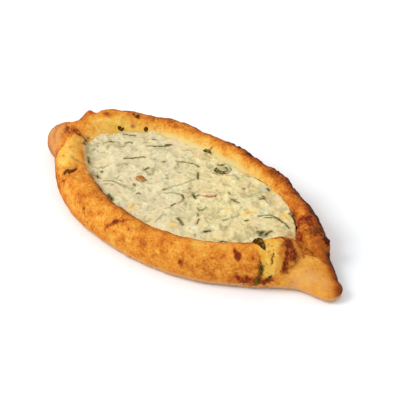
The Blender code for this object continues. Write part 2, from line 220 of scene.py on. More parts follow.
# %% [markdown]
# ## The height of the dough
# The rim is a roll that rises from the tray, swells, and falls to the cheese, steeply on the near
# side and softly on the far one. One function gives its height at any place, from the distances to
# the outline and to the opening. Bumps and creases are added to it: the roll's end that laps over
# the tail, the folds of the knob, the crack in the near rim, the blisters on the far roll.

# %% Heights, bumps and creases
NEAR_HEIGHT, FAR_HEIGHT, KNOB_HEIGHT = 21.5, 21.0, 18.0
TAIL_ROOT_HEIGHT, TAIL_HEIGHT = 13.5, 9.5
# from which x to which one height goes over into the next
TAIL_SINKS, FAR_ROLL_SINKS, KNOB_SINKS = (78, 104), (55, 94), (-80, -92)
NEAR_ROLL_END, NEAR_ROLL_SLANT, NEAR_ROLL_SINKS = (78.5, -14), 0.22, (-3.5, 2.5)
EQUATOR, EQUATOR_AT_TAIL, EQUATOR_SINKS = 7.5, 4.5, (70, 95)
AXIS_BLEND = (-6, 8)
RIM_RISE, RIM_FALL = 10.0, 9.0
NEAR_LIP, FAR_LIP = 0.55, 1.0
FOOT_INSET, FLOOR, FILL_EDGE, RIM_OVER_FILL = 4.0, 6.0, 15.0, 0.8
NOISE_GAIN = 1.6
# pitch, height and layer of smooth noise
ROLL_WAVES = ((26, 1.0, 0), (9, 0.35, 3))
# x, y, reach and height
BUMPS = (
    (66, -4, 9, 4.2), (52, -30, 14, 0.8), (8, -42, 26, -0.8), (-71, -31, 8, 1.6), (-58, -42, 7, -0.8),
    (-90, 10.5, 4, 3.2), (-86.3, 13, 2.4, -1.8), (-83.6, 16, 4.5, 2), (-62, 30, 10, -0.8), (27, 40, 10, 2.2),
    (69, 24, 5, 2.6), (75, 23, 3.5, -3), (81, 19, 2.8, 5),
    (-71, 20, 3.2, 0.6), (-66, 26, 3.2, 1), (-50, 36, 3.2, 1.3), (-2, 43, 3.2, 1.3), (22, 42, 3.2, 1.3),
    (32, 41, 3.2, 1.3), (41, 36, 3.2, 1.3), (57, 31, 3.2, 1.3),
)
# start, end, half width at each, depth at each; a ridge has a depth below zero
CREASES = {
    "valley beside the tail": ((73, 7), (88, 8.5), (3.4, 2), (6, 2.6)),
    "upper lip of the tail": ((79, -1), (88, 4.5), (2.2, 2), (-2, -1.2)),
    "foot of the lapped roll": ((78.5, 0), (82, -18), (2.8, 2.8), (1.6, 1.6)),
    "crack in the near rim": ((-66, -39), (-59, -33), (1.8, 1.5), (3, 2.8)),
    "lip above the crack": ((-69, -35), (-62, -30.5), (2.2, 2), (-0.9, -0.9)),
    "small fold by the crack": ((-66, -28), (-61, -26), (1.3, 1.3), (1, 1.4)),
    "fold under the seam": ((-91, -3), (-76, -5.5), (2.2, 3), (2.4, 5)),
    "seam of the knob": ((-89, -7.5), (-79, -11), (2.3, 3.2), (-2.2, -2.4)),
    "outer arc of the knob": ((-92, -17), (-96, -7), (1.5, 1.5), (1.6, 0.8)),
    "inner arc of the knob": ((-82, -22), (-88, -12), (1.8, 1.8), (2.8, 2)),
}


def with_waves(height, x, y, waves):
    """A height with smooth noise added; each wave gives pitch, height and layer."""
    for pitch, size, layer in waves:
        swell = [NOISE_GAIN * noise.noise((a, b, layer)) for a, b in zip(x / pitch, y / pitch)]
        height = height + size * np.array(swell)
    return height


def equator(x):
    """Height at which the side of the roll is widest."""
    return mix(EQUATOR, EQUATOR_AT_TAIL, smooth_step(*EQUATOR_SINKS, x))


def far_share(x, y):
    """0 on the near side, 1 on the far side, smooth across the axis of the opening."""
    return smooth_step(*AXIS_BLEND, y - opening_axis(x))


def crest(x, y):
    """Height of the crest of whatever dough is here: near roll, far roll, knob or tail."""
    tail = mix(TAIL_ROOT_HEIGHT, TAIL_HEIGHT, smooth_step(*TAIL_SINKS, x))
    end = NEAR_ROLL_END[0] - NEAR_ROLL_SLANT * (y - NEAR_ROLL_END[1])
    near = mix(NEAR_HEIGHT, tail, smooth_step(end + NEAR_ROLL_SINKS[0], end + NEAR_ROLL_SINKS[1], x))
    far = mix(FAR_HEIGHT, tail, smooth_step(*FAR_ROLL_SINKS, x))
    return mix(mix(near, far, far_share(x, y)), KNOB_HEIGHT, smooth_step(*KNOB_SINKS, x))


def marks(x, y):
    """Bumps added up, less the creases."""
    height = humps(x, y, BUMPS)
    for start, end, half_widths, depths in CREASES.values():
        share, away = along_segment(x, y, start, end)
        height = height - mix(*depths, share) * np.exp(-((away / mix(*half_widths, share)) ** 2))
    return height


def dough_top(x, y):
    """Height of the dough's upper side between the outline and the opening."""
    from_outline = np.minimum(distance_to(dough_edge, x, y) / RIM_RISE, 1)
    from_opening = np.minimum(distance_to(opening_edge, x, y) / RIM_FALL, 1)
    rise = np.sqrt(1 - (1 - from_outline) ** 2)
    fall = 1 - (1 - (1 - from_opening) ** 2) ** mix(NEAR_LIP, FAR_LIP, far_share(x, y))
    top = with_waves(crest(x, y), x, y, ROLL_WAVES)
    foot = equator(x)
    return foot + (top - foot + marks(x, y) * (1 - fall)) * rise - (top - FILL_EDGE - RIM_OVER_FILL) * fall


print("dough with", len(BUMPS), "bumps and", len(CREASES), "creases")

# %% [markdown]
# ## The skin of the dough
# A real crust has a skin: dents from fingers, fine wrinkles, pores and small blisters. It could be
# one mesh with a displacement texture, but then the shape would live in the material alone. So the
# skin is a loft of fine rings, from the foot over the roll to the opening, and its points are moved
# along their normals by noise. Each ring has many points, about half a millimetre apart.

# %% Loft the crust
STATIONS, FOOT_RINGS, RIM_RINGS = 1000, 8, 62
CLOSER_AT_ENDS, CLOSER_FROM_TO = 0.9, (42, 60)
# the line inside the opening that the rings run towards: share of the boat's length, and its end
HEART_SHARE, HEART_END = 0.62, 46
# the net of points under the boat: pitch, reach and gap to the border in pitches
NET_PITCH, NET_REACH, NET_GAP = 2.0, 110, 0.8


def inward(line):
    """The unit step into an anticlockwise closed line, at each of its points."""
    way = np.roll(line, -1, axis=0) - np.roll(line, 1, axis=0)
    normal = np.column_stack([-way[:, 1], way[:, 0]])
    return normal / np.hypot(*normal.T)[:, None]


def eased(ring, rounds=40):
    """A ring whose tightest corners are rounded, so that it can't cross itself."""
    for _ in range(rounds):
        ring = (np.roll(ring, 1, axis=0) + 2 * ring + np.roll(ring, -1, axis=0)) / 4
    return ring


def crust_rings():
    """Rings from the foot to the opening, and for each its share of the way across the rim."""
    closeness = 1 + CLOSER_AT_ENDS * smooth_step(*CLOSER_FROM_TO, np.abs(DOUGH_LINE[:, 0]))
    outline = evenly(DOUGH_LINE, STATIONS, closeness)
    heart_x = np.clip(HEART_SHARE * outline[:, 0], -HEART_END, HEART_END)
    heart = np.column_stack([heart_x, opening_axis(heart_x)])
    edge = crossing(outside_opening, heart, outline - heart)
    rings, across = [], []
    for k in range(FOOT_RINGS):
        turn = math.pi / 2 * k / FOOT_RINGS
        plan = outline + inward(outline) * FOOT_INSET * (1 - math.sin(turn))
        rings.append(np.column_stack([plan, equator(outline[:, 0]) * (1 - math.cos(turn))]))
        across.append(0)
    rings[0] = eased(rings[0])
    for k in range(RIM_RINGS + 1):
        share = (1 - math.cos(math.pi * k / RIM_RINGS)) / 2
        plan = mix(outline, edge, share)
        rings.append(np.column_stack([plan, dough_top(*plan.T)]))
        across.append(share)
    rings.append(np.column_stack([edge, np.full(len(edge), FLOOR)]))
    return rings, across + [1]


def underside(ring):
    """Points inside the foot and the triangles that close it.

    Where the border crosses itself, the triangulation adds a point, so the points are read back from it.
    """
    steps = np.arange(-NET_REACH, NET_REACH, NET_PITCH)
    net = np.array([(x, y) for x in steps for y in steps])
    net = net[outside_dough(*net.T) < -FOOT_INSET - NET_GAP * NET_PITCH]
    border = list(zip(range(len(ring)), [*range(1, len(ring)), 0]))
    corners = [Vector(point) for point in np.vstack([ring[:, :2], net])]
    plan, _, faces, *_ = delaunay_2d_cdt(corners, border, [], 1, 1e-4)
    inside = np.array([tuple(corner) for corner in plan[len(ring):]])
    return np.column_stack([inside, np.zeros(len(inside))]), [face[::-1] for face in faces]


rings, across = crust_rings()
net, underside_faces = underside(rings[0])
points = np.vstack([*rings, net])
here = np.arange(STATIONS)
after = np.roll(here, -1)
band = np.column_stack([here, after, after + STATIONS, here + STATIONS])
last = STATIONS * (len(rings) - 1)
bands = np.vstack([band + first for first in range(0, last, STATIONS)])
last_ring = list(range(last, last + STATIONS))
underside_faces = [[i if i < STATIONS else i + last for i in face] for face in underside_faces]
crust_mesh = bpy.data.meshes.new("baked_crust")
crust_mesh.from_pydata(points, [], [*bands.tolist(), last_ring, *underside_faces])
crust_mesh.update()
print("crust:", len(points), "points,", len(crust_mesh.polygons), "faces")

# %% [markdown]
# ## Dents, pores and blisters
# Several kinds of relief lie over each other on baked dough: soft dents as wide as a fingertip,
# wrinkles of two or three millimetres, pores like pinpricks, and blisters where steam lifted the skin.
# Noise gives the first two. The distance to scattered cell centres gives the round ones, and a
# number drawn for each cell tells whether it has one at all.

# %% Noise in space
LAYER_GAP, CELL_LAYER_GAP, LUCK_SCALE = 31.7, 17.3, 7.1


def lumps(points, pitch, layer):
    """Noise in space between about -1 and 1."""
    places = points / pitch + (0, 0, LAYER_GAP * layer)
    return np.array([NOISE_GAIN * noise.noise(place) for place in places.tolist()])


def waves(points, table, below=0):
    """Noise of several sizes added up; each row gives pitch, height and layer."""
    return sum((height * lumps(points, pitch, layer) for pitch, height, layer in table), below)


def cells(points, pitch, layer):
    """Distance to the nearest scattered centre, in pitches, and a number from 0 to 1 of its own."""
    places = points / pitch + (0, 0, CELL_LAYER_GAP * layer)
    found = [noise.voronoi(place) for place in places.tolist()]
    near = np.array([distances[0] for distances, _ in found])
    return near, np.array([noise.cell(centres[0] * LUCK_SCALE) for _, centres in found])


print("dents at the first points of the skin:", lumps(points[:3], 7, 0))

# %% [markdown]
# ## Folds and swellings
# Folds that can be told apart are lines in space, and each has a width, a depth and a darkness. The
# darkness is brown in the fold together with painted shade. They could be cut into the mesh one by
# one. The distance to a slightly crooked line gives a soft groove wherever it runs, and it leaves the
# mesh as even as before. Swellings are soft round humps.

# %% Lines and swellings
WOBBLE, WOBBLE_PITCH, WOBBLE_LAYERS = 0.7, 3.5, (20, 21, 22)
UPRIGHT_SHARE = 0.5
# half width, depth, darkness (brown and painted shade in the fold) and the corners as x, y, z, x, y, z
FURROWS = {
    "crack in the near rim": (0.85, 1.2, 1.15, (
        -65.6, -37.9, 15.8, -64.2, -36.3, 16.9, -62.6, -35.5, 17.6, -60.6, -33.2, 18.8)),
    "line below the crack": (0.7, 0.3, 0.5, (-65.4, -37.6, 16, -64.6, -39, 15, -62.6, -39.6, 16)),
    "short line by the fold": (0.9, 0.25, 0.2, (-68.4, -27, 21.6, -64.9, -26.9, 20.5, -62.9, -26.2, 19.7)),
    # these two have no depth of their own: they paint the shadow inside the fold under the knob's seam
    "deep fold at the knob": (1.9, 0, 0.8, (-76.4, -5, 16.6, -74.6, -9.4, 17.8, -72.8, -12.8, 18.2)),
    "under the seam": (1.8, 0, 0.75, (
        -84, -9.4, 21, -80, -8.6, 20.6, -77, -8.6, 19, -75.4, -8, 17.6)),
    "edge of the petal": (0.8, 0.8, 0.62, (
        -90.4, -9.4, 18.6, -87.6, -13, 17.4, -85, -16, 17, -83.4, -19, 16.2, -80.4, -24, 16)),
    "crease of the petal": (0.8, 0.6, 0.45, (-82.1, -14.7, 21.3, -83, -16.3, 19.6, -82.4, -19, 19)),
    "outer arc of the knob": (0.75, 0.6, 0.55, (
        -96.9, -6.1, 15.9, -95.7, -9.9, 15.9, -94.2, -12.8, 14.9, -92.8, -15.2, 13.5, -90.5, -17.3, 12.4)),
    "slit in the lump": (0.7, 0.8, 1, (72.8, -15.9, 21.8, 73.8, -17.9, 19.9, 75, -19.2, 17.8)),
    "rim of the knob": (0.7, 0.4, 0.35, (
        -98.4, -4, 13, -97.8, -9, 13.4, -96.8, -13, 12.6, -94, -17.4, 10)),
    "valley": (1, 0.3, 0.7, (
        68.2, 9.1, 16.5, 71.2, 6.5, 16.2, 73.5, 6.5, 13.8, 75.9, 8, 11.4, 79.5, 8.9, 10.6, 83.1, 8.3, 10.1)),
    "lip of the tail": (0.8, 0.3, 0.5, (
        77, -3, 14.4, 81, -0.3, 15.1, 83.6, 1.7, 14.9, 86.2, 3.1, 14.4, 90, 3.6, 13)),
    "edge of the lump": (1, 0.5, 0.6, (
        80.9, -14, 11.2, 80.2, -9.5, 12.4, 80.3, -4.5, 13, 78.4, -1.4, 14.2)),
    "crest of the lump": (1, -0.2, 0.8, (
        66, -7.6, 24.2, 68, -5.8, 24.7, 70.8, -4, 24.4, 73.2, -2.5, 23, 74.6, -0.7, 19.7,
        75.8, 0.1, 16.3)),
    "furrow of the far end": (1.2, 0.8, 0.7, (62, 15, 17, 66, 18, 19, 70, 19.5, 19.5, 74, 20, 18)),
    "second furrow of the far end": (1.1, 0.7, 0.7, (67.9, 14.5, 18.8, 72.7, 14.9, 18.3, 76.1, 16.2, 16.5)),
    "notch below the burnt knob": (1, 0.8, 0.5, (82.1, 16.9, 14.3, 84.6, 15.6, 12, 86.6, 14.6, 9)),
}
# x, y, z, reach and height of swellings of the skin
SWELLINGS = (
    (-66, -19, 18, 4, 0.6), (-60.5, -25.5, 18.7, 4, 0.8), (-44, -36, 20, 4.5, 0.8), (-30, -41, 20, 3.5, -0.4),
    (-18, -42.4, 19.8, 4, 0.6), (14, -40.7, 19.5, 5, 0.6), (34, -37, 20, 3, -0.3), (44, -30, 20, 4, 0.4),
    (-86, 9, 20.7, 3, 0.6), (-80, 11, 21.5, 3, 0.3), (-87, -15, 18, 3, 0.6), (67, 15, 18, 2.6, 0.8),
    (72, 15.5, 17.5, 2.4, 0.7), (66, 22, 20, 3, 0.6), (-76, -17, 21, 3, 0.5), (82, 18.6, 14, 2.4, 2.2),
    (-9.8, 43, 18.6, 1.3, 0.7), (-3, 40.8, 21.3, 1.3, 1), (13.8, 40.1, 20.4, 1.5, 0.6),
    (26.9, 39.2, 20.8, 1.2, 0.9), (37, 37.7, 19.5, 1.4, 0.9), (44.4, 36, 18, 1.4, 0.7),
    (57.8, 29.3, 20.7, 1.8, 0.7),
)


def from_line(points, flat):
    """Distance in space from each point to a line of corners."""
    corners = np.array(flat, float).reshape(-1, 3)
    away = np.full(len(points), np.inf)
    for start, end in zip(corners, corners[1:]):
        step = end - start
        share = np.clip((points - start) @ step / (step @ step), 0, 1)
        gap = (points - start - share[:, None] * step) * (1, 1, UPRIGHT_SHARE)
        away = np.minimum(away, np.linalg.norm(gap, axis=1))
    return away


def wavy(points):
    """The points shifted a little, so that straight lines come out crooked."""
    return points + WOBBLE * np.column_stack([lumps(points, WOBBLE_PITCH, layer) for layer in WOBBLE_LAYERS])


bent = wavy(points)
print("folds:", len(FURROWS), "swellings:", len(SWELLINGS))

# %% [markdown]
# ## All the relief together
# Relief of every kind is added up to one number for each point, and the point moves that far along
# its normal. The tail and the knob are smoother. The skin is rougher in a band where it turns just
# away from the camera, on the upper back of the roll; the colour later darkens the same band with
# painted shade.

# %% Move the skin's points along their normals
# the camera's direction of view: the outline band lies where the skin turns just away from it
VIEW_WAY = (-0.511, 0.571, -0.643)
OUTLINE_AT, OUTLINE_WIDTH = -0.08, 0.24
# how strongly the outline band shows, along the boat
OUTLINE_STRENGTH = ((-95, 0.2), (-80, 0.5), (-60, 0.6), (-30, 0.6), (0, 0.9), (30, 1.0), (60, 1.0), (78, 0.8),
             (88, 0.3), (110, 0.2))
# pitch, height and layer of noise
SKIN_WAVES = ((7, 0.3, 0), (3, 0.16, 1), (1.6, 0.09, 2))
FAR_END_WAVES = ((5, 0.9, 3), (2.4, 0.4, 4))
OUTLINE_WAVES = ((4.2, 0.55, 5), (2.0, 0.3, 6))
FAR_END, FAR_END_REACH = (70, 19, 18), 11
# pitch, layer, radius in pitches, height, and the luck from which a cell has one
PORES = (2.4, 0, 0.17, 0.3, 0.6)
BLISTERS = (6.5, 1, 0.3, 0.35, 0.7)
UNDER_HEIGHT, HOLLOW, HOLLOW_PITCH, HOLLOW_LAYER = 0.5, 0.25, 5, 7
# how much calmer the skin is on the tail, from and to which x, and on the knob
SKIN_CALM_TAIL, CALM_TAIL_FROM, CALM_KNOB, CALM_KNOB_FROM_TO = (0.65, 88), 78, 0.4, (-84, -92)


def calm_ends(x, less_at_tail, least_at):
    """1 along the boat, less on the tail and on the knob, whose skin is smoother."""
    at_tail = less_at_tail * smooth_step(CALM_TAIL_FROM, least_at, x)
    return 1 - at_tail - CALM_KNOB * smooth_step(*CALM_KNOB_FROM_TO, x)


def skin(points, bent, far_outline):
    """How far the skin stands out, in millimetres."""
    relief = waves(points, SKIN_WAVES)
    pitch, layer, radius, depth, lucky = PORES
    near, luck = cells(points, pitch, layer)
    relief -= depth * np.exp(-((near / radius) ** 2)) * (luck > lucky)
    pitch, layer, radius, height, lucky = BLISTERS
    near, luck = cells(points, pitch, layer)
    relief += height * np.sqrt(np.maximum(1 - (near / radius) ** 2, 0)) * (luck > lucky)
    far_end = np.exp(-(((points - FAR_END) / FAR_END_REACH) ** 2).sum(axis=1))
    relief = calm_ends(points[:, 0], *SKIN_CALM_TAIL) * relief + far_end * waves(points, FAR_END_WAVES)
    relief += far_outline * waves(points, OUTLINE_WAVES)
    for half_width, depth, _, line in FURROWS.values():
        relief -= depth * np.exp(-((from_line(bent, line) / half_width) ** 2))
    for x, y, z, reach, height in SWELLINGS:
        relief += height * np.exp(-((points - (x, y, z)) ** 2).sum(axis=1) / reach**2)
    return relief


def placed(name, data):
    """A new object in the scene, that holds a mesh, a lamp or a camera."""
    thing = bpy.data.objects.new(name, data)
    bpy.context.scene.collection.objects.link(thing)
    return thing


far = far_share(*points[:, :2].T)
normals = np.zeros(len(points) * 3)
crust_mesh.vertices.foreach_get("normal", normals)
normals = normals.reshape(-1, 3)
# a band where the skin turns just away from the camera: it roughens the skin, and the colour darkens it with
# painted shade
outline_band = np.exp(-(((normals @ VIEW_WAY - OUTLINE_AT) / OUTLINE_WIDTH) ** 2))
far_outline = outline_band * far * np.interp(points[:, 0], *np.array(OUTLINE_STRENGTH).T)
under = points[:, 2] < UNDER_HEIGHT
hollow = -HOLLOW - HOLLOW * lumps(points, HOLLOW_PITCH, HOLLOW_LAYER)
relief = np.where(under, hollow, skin(points, bent, far_outline))
# the wall below the opening stays as it is
relief[last:] *= under[last:]
skin_points = points + normals * relief[:, None]
skin_points[:, 2] = np.maximum(skin_points[:, 2], 0)
skin_points[here] = points[here]
crust_mesh.vertices.foreach_set("co", ((skin_points + MOVE) * MM).ravel())
crust_mesh.shade_smooth()
crust_mesh.update()
crust = placed("baked_crust", crust_mesh)
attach(crust, "root")
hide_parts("crust")
print("skin relief from", relief.min(), "to", relief.max(), "mm")

# %% [markdown]
# ## Where the oven browned it, and painted shade along the outline
# The colour of a crust tells how hot each place became: creamy yellow towards the cheese on the far
# side, orange on the near roll, and brown to black along the far crest. Low down on the near side the
# dough is paler, partly pale dough and partly painted light bounced from the floor. Where the skin
# turns just away from the camera, painted shade darkens it, over the real browning of the far crest.
# A painter would use a texture image. Here each point of the mesh gets a few numbers instead, which
# the material reads. The first says how toasted the dough is, with that painted shade added in, and
# tables along the boat give most of it.

# %% Toast along the boat
# toast from 0, pale, to 1, black: for each share of the way across the rim, x and value along the boat
FAR_TOAST = {
    0.0: ((-95, 0.55), (-40, 0.58), (0, 0.6), (60, 0.62), (95, 0.52)),
    0.35: ((-95, 0.5), (-80, 0.56), (-60, 0.62), (-36, 0.57), (-16, 0.57), (5, 0.72), (25, 0.82), (46, 0.78),
           (64, 0.86), (84, 0.88), (95, 0.72)),
    0.57: ((-95, 0.5), (-80, 0.47), (-70, 0.57), (-60, 0.6), (-36, 0.52), (-16, 0.5), (5, 0.64), (25, 0.76),
           (46, 0.74), (64, 0.72), (80, 0.82), (95, 0.66)),
    0.7: ((-90, 0.46), (-79, 0.38), (-71, 0.46), (-58, 0.45), (-42, 0.4), (-23, 0.38), (-2, 0.47), (16, 0.55),
          (32, 0.64), (50, 0.63), (60, 0.54), (75, 0.54), (95, 0.5)),
    0.85: ((-90, 0.46), (-79, 0.3), (-71, 0.4), (-58, 0.4), (-42, 0.28), (-23, 0.26), (-2, 0.33), (16, 0.37),
           (36, 0.5), (50, 0.62), (60, 0.6), (75, 0.6), (95, 0.48)),
    1.0: ((-90, 0.5), (-79, 0.3), (-71, 0.3), (-58, 0.32), (-42, 0.2), (-23, 0.14), (-2, 0.22), (16, 0.28),
          (39, 0.42), (47, 0.55), (54, 0.8), (75, 0.7), (95, 0.5)),
}
NEAR_TOAST = {
    0.0: ((-95, 0.52), (-75, 0.48), (-10, 0.45), (10, 0.48), (40, 0.54), (60, 0.54), (72, 0.5), (82, 0.44),
          (105, 0.46)),
    0.3: ((-95, 0.5), (-75, 0.38), (-60, 0.5), (-42, 0.49), (-25, 0.47), (-10, 0.49), (3, 0.51), (22, 0.56),
          (36, 0.51), (50, 0.54), (64, 0.59), (76, 0.53), (84, 0.42), (100, 0.44), (105, 0.46)),
    0.7: ((-95, 0.52), (-75, 0.32), (-60, 0.5), (-40, 0.55), (-10, 0.55), (13, 0.57), (34, 0.38), (48, 0.45),
          (60, 0.52), (72, 0.5), (84, 0.39), (100, 0.42), (105, 0.46)),
    1.0: ((-90, 0.6), (-75, 0.45), (-58, 0.56), (-30, 0.66), (0, 0.64), (30, 0.54), (55, 0.5), (66, 0.56),
          (80, 0.6)),
}
# pitch, height and layer of noise
TOAST_WAVES = ((14, 0.04, 8), (6, 0.03, 9))
# how much darker the outline band turns: on the near roll, as painted shade, and on the far roll, as painted
# shade over the crest's browning, from least to most
NEAR_OUTLINE_SHADE, FAR_OUTLINE_BROWN_AND_SHADE, FAR_OUTLINE_ALONG = 0.2, (0.1, 0.26), ((-95, -60, 30, 95), (0, 0.5, 1, 1))
# how much browner the tail's far edge and the knob are, how much the outline band darkens at the far roll's end
# with brown and painted shade, and where
TAIL_EDGE, TAIL_EDGE_WIDTH = 0.38, 5
TAIL_EDGE_X, TAIL_EDGE_Y, TAIL_EDGE_SLANT, TAIL_EDGE_CENTRE = (80, 90), (-4, 3), 0.5, 100
FAR_END_BROWN_AND_SHADE, FAR_END_X, FAR_END_WIDTH = 0.16, 68, 10
KNOB_BROWN, KNOB_BROWN_FROM_TO = 0.06, (-86, -92)


def across_rim(table, x, share):
    """Reads a table of rows at each share of the way across the rim and each x along the boat."""
    shares = np.array(list(table))
    rows = np.array([np.interp(x, *np.array(row).T) for row in table.values()])
    above = np.clip(np.searchsorted(shares, share), 1, len(shares) - 1)
    part = np.clip((share - shares[above - 1]) / (shares[above] - shares[above - 1]), 0, 1)
    each = np.arange(len(x))
    return mix(rows[above - 1, each], rows[above, each], part)


x, y, z = points.T
rim_share = np.concatenate([np.full(STATIONS, share) for share in across] + [np.zeros(len(net))])
toast_and_shade = mix(across_rim(NEAR_TOAST, x, rim_share), across_rim(FAR_TOAST, x, rim_share), far)
toast_and_shade += waves(points, TOAST_WAVES)
# painted shade along the outline band, over real browning on the far crest
toast_and_shade += outline_band * mix(NEAR_OUTLINE_SHADE, mix(*FAR_OUTLINE_BROWN_AND_SHADE, np.interp(x, *FAR_OUTLINE_ALONG)), far)
inset = distance_to(dough_edge, x, y)
askew = y + TAIL_EDGE_SLANT * (x - TAIL_EDGE_CENTRE)
tail_edge = smooth_step(*TAIL_EDGE_X, x) * smooth_step(*TAIL_EDGE_Y, askew)
toast_and_shade += TAIL_EDGE * np.exp(-((inset / TAIL_EDGE_WIDTH) ** 2)) * tail_edge
# the far roll's end darker along the outline band: brown and painted shade
toast_and_shade += FAR_END_BROWN_AND_SHADE * outline_band * far * np.exp(-(((x - FAR_END_X) / FAR_END_WIDTH) ** 2))
toast_and_shade += KNOB_BROWN * smooth_step(*KNOB_BROWN_FROM_TO, x)
print("toast from", toast_and_shade.min(), "to", toast_and_shade.max())

# %% [markdown]
# ## Spots of glaze, a painted highlight, rust and char
# Small things don't fit into such tables: glaze where cheese ran over the roll, a painted highlight on
# the near roll by the knob, rust-brown spots, char on the humps, smears of herb, pale flour and thin
# cheese. Each is a soft spot with a place in space, a reach and a strength, set where this boat has it.

# %% Soft spots
# spots in space: x, y, z, reach and strength
# glaze of baked cheese; the first four spots, on the near roll by the knob, also paint a highlight there
GLAZE_AND_HIGHLIGHT = (
    (-73.8, -29.7, 19.8, 4, 1), (-69.3, -30.4, 22.1, 4.5, 1.2), (-65.4, -31.3, 22.5, 3, 0.8),
    (-78, -26, 18, 5, 0.9), (64, -13.5, 23.3, 3.5, 1.2), (69, -12, 24, 4, 1.2), (70, -17, 22.5, 3.5, 1.2),
    (71.7, -19.2, 20.4, 3.2, 1.2), (73, -21.8, 16, 3, 1.2), (74.8, -21.6, 13.5, 2.6, 0.9),
    (76.5, -17, 19, 2.6, 0.9), (65.5, -18, 22, 2.5, 0.8), (-75, 9, 19, 5, 0.7), (-66, 14, 18.5, 5, 0.65),
    (-71, 15.5, 20.6, 4, 0.6), (-59, 19, 17, 5, 0.6), (-45, 25, 17, 5, 0.4), (-83, 4, 19, 4, 0.4),
    (-54.5, -37.6, 21.5, 3, 0.45), (-70.5, 12.5, 19.5, 2.4, 0.6),
)
RUSTY = (
    (-61.3, -40.6, 16.3, 1.8, 0.9), (-64.6, -40.6, 12.7, 2.6, 0.6), (-55.5, -41.4, 18.2, 2.5, 0.5),
    (-38.8, -50.6, 15.1, 1.7, 0.9), (-37.1, -51.7, 13.8, 1.6, 0.9), (-35.3, -47.7, 19.6, 2, 0.5),
    (-36, -44.5, 20.9, 2, 0.4), (-24.2, -50.1, 19.3, 3, 0.5), (-31.3, -43.8, 20.9, 2, 0.4),
    (-15.9, -52.7, 16.9, 1.5, 0.9), (-14.2, -51.6, 18.4, 1.5, 1), (-12.2, -50.4, 19.5, 1.5, 1),
    (-9.9, -49.2, 20.4, 1.5, 1), (-7.6, -47.2, 21, 1.4, 0.8), (-17.7, -53.4, 15.2, 1.6, 0.8),
    (-4.5, -51, 18.5, 1.6, 1),
    (1.1, -53.8, 13.2, 2, 0.4), (14.3, -53.5, 8, 1.8, 0.6), (5.5, -51.2, 17, 2, 0.4),
    (10.8, -49.6, 17.5, 2.4, 0.4), (16.8, -52.2, 12.3, 1.4, 0.6), (22.9, -50.6, 13.3, 1.4, 0.6),
    (23.2, -48.4, 17.2, 1.6, 0.5), (31.4, -48.3, 13.7, 1.3, 0.8), (32.8, -48.3, 12.3, 1.6, 1.1),
    (57.2, -29.7, 20.9, 1.8, 0.9), (59.2, -29.9, 20, 1.6, 0.9), (54.7, -28.6, 21.8, 1.5, 0.9),
    (58.7, -28, 21.4, 1.5, 1), (65.6, -25, 19.8, 1.5, 0.9), (56.2, -34.5, 16.5, 1.8, 0.4),
    (61, -33.9, 9.7, 2.2, 1.2), (64.6, -31.3, 8, 2.6, 1.1), (67.7, -28.9, 6.4, 2.4, 1.2),
    (73.5, -24.6, 6, 2, 0.9),
    (71.5, -26.2, 8.5, 1.8, 1), (75.5, -23.2, 8, 1.8, 1), (77.5, -21.8, 8.5, 1.6, 0.8),
    (42.8, -39.4, 19, 4, 0.3), (50.5, -39.8, 12.6, 4, 0.35), (-81.5, 11.4, 21.6, 3, 0.5),
    (-77.5, 13.5, 21.6, 2.6, 0.7), (-88, 8, 20.4, 2.6, 0.6), (-63, 17.9, 17.6, 1.8, 0.4),
    (-64, 21, 20, 3, 0.5), (-70, 17.5, 20.6, 2.5, 0.5),
    (-52.8, 25.1, 17.4, 1.4, 0.8), (-50.7, 23.7, 15.7, 1.3, 0.7), (4.8, 36.7, 20.8, 1.6, 0.8),
    (-45.8, 31.7, 20, 2, 0.6), (20, 37, 20, 2, 0.5), (62, 20, 18.6, 3, 1), (67.5, 21, 20.5, 3.4, 1),
    (64, 16, 17, 2.4, 1.2), (69.6, 20.2, 19.1, 2.6, 0.9), (76.1, 16.2, 16.5, 2.2, 1.1),
    (58, 25, 19.5, 3, 0.7), (53, 28, 19, 3, 0.5), (74.5, 13.2, 16.2, 1.8, 0.6),
    (68.9, 10.4, 17, 2.4, 1), (71.5, 8.5, 16, 2.2, 0.8), (74, -3.6, 21.4, 3.2, 0.9),
    (75.2, -7.4, 21.4, 2.4, 0.8), (76.6, -5.4, 17.6, 3.2, 0.9), (77.6, -2.6, 15, 2.6, 0.8),
    (78.1, -11.6, 16.3, 2.2, 0.9), (79.4, -12.8, 13.8, 2.2, 1.1), (77.4, -9.6, 18.4, 2, 0.6),
    (79.6, -6.6, 13.4, 2.2, 0.5), (72.4, -9.6, 23.4, 1.6, 0.5), (70.6, -14.2, 23, 1.4, 0.3),
    (70.6, -4.4, 24.2, 1.8, 0.7), (67, -6.8, 24.5, 1.5, 0.8), (73, -2.8, 23, 1.6, 0.7),
    (79.4, -16, 12.6, 1.8, 0.7), (81.6, 0.2, 15, 1.2, 0.8), (84.6, 2.2, 14.8, 1.2, 0.7),
    (-84.2, -11.6, 21.9, 3, 0.85), (-88, -9.8, 20, 3, 0.7), (-80.1, -11.9, 23.6, 2.6, 0.9),
    (-77.6, -10.6, 21.8, 2.2, 0.8), (-91, -6.6, 19, 2.4, 0.4), (-72.3, -23.8, 22.1, 2.2, 0.4),
    (-74.9, -22, 21.5, 2, 0.35), (-66.6, -28.8, 21.4, 1.7, 0.6), (-64.5, -28.1, 21, 1.6, 0.6),
    (-63.1, -31.3, 22.4, 2.6, 0.5), (-58, -27, 19.6, 1.6, 0.5),
)
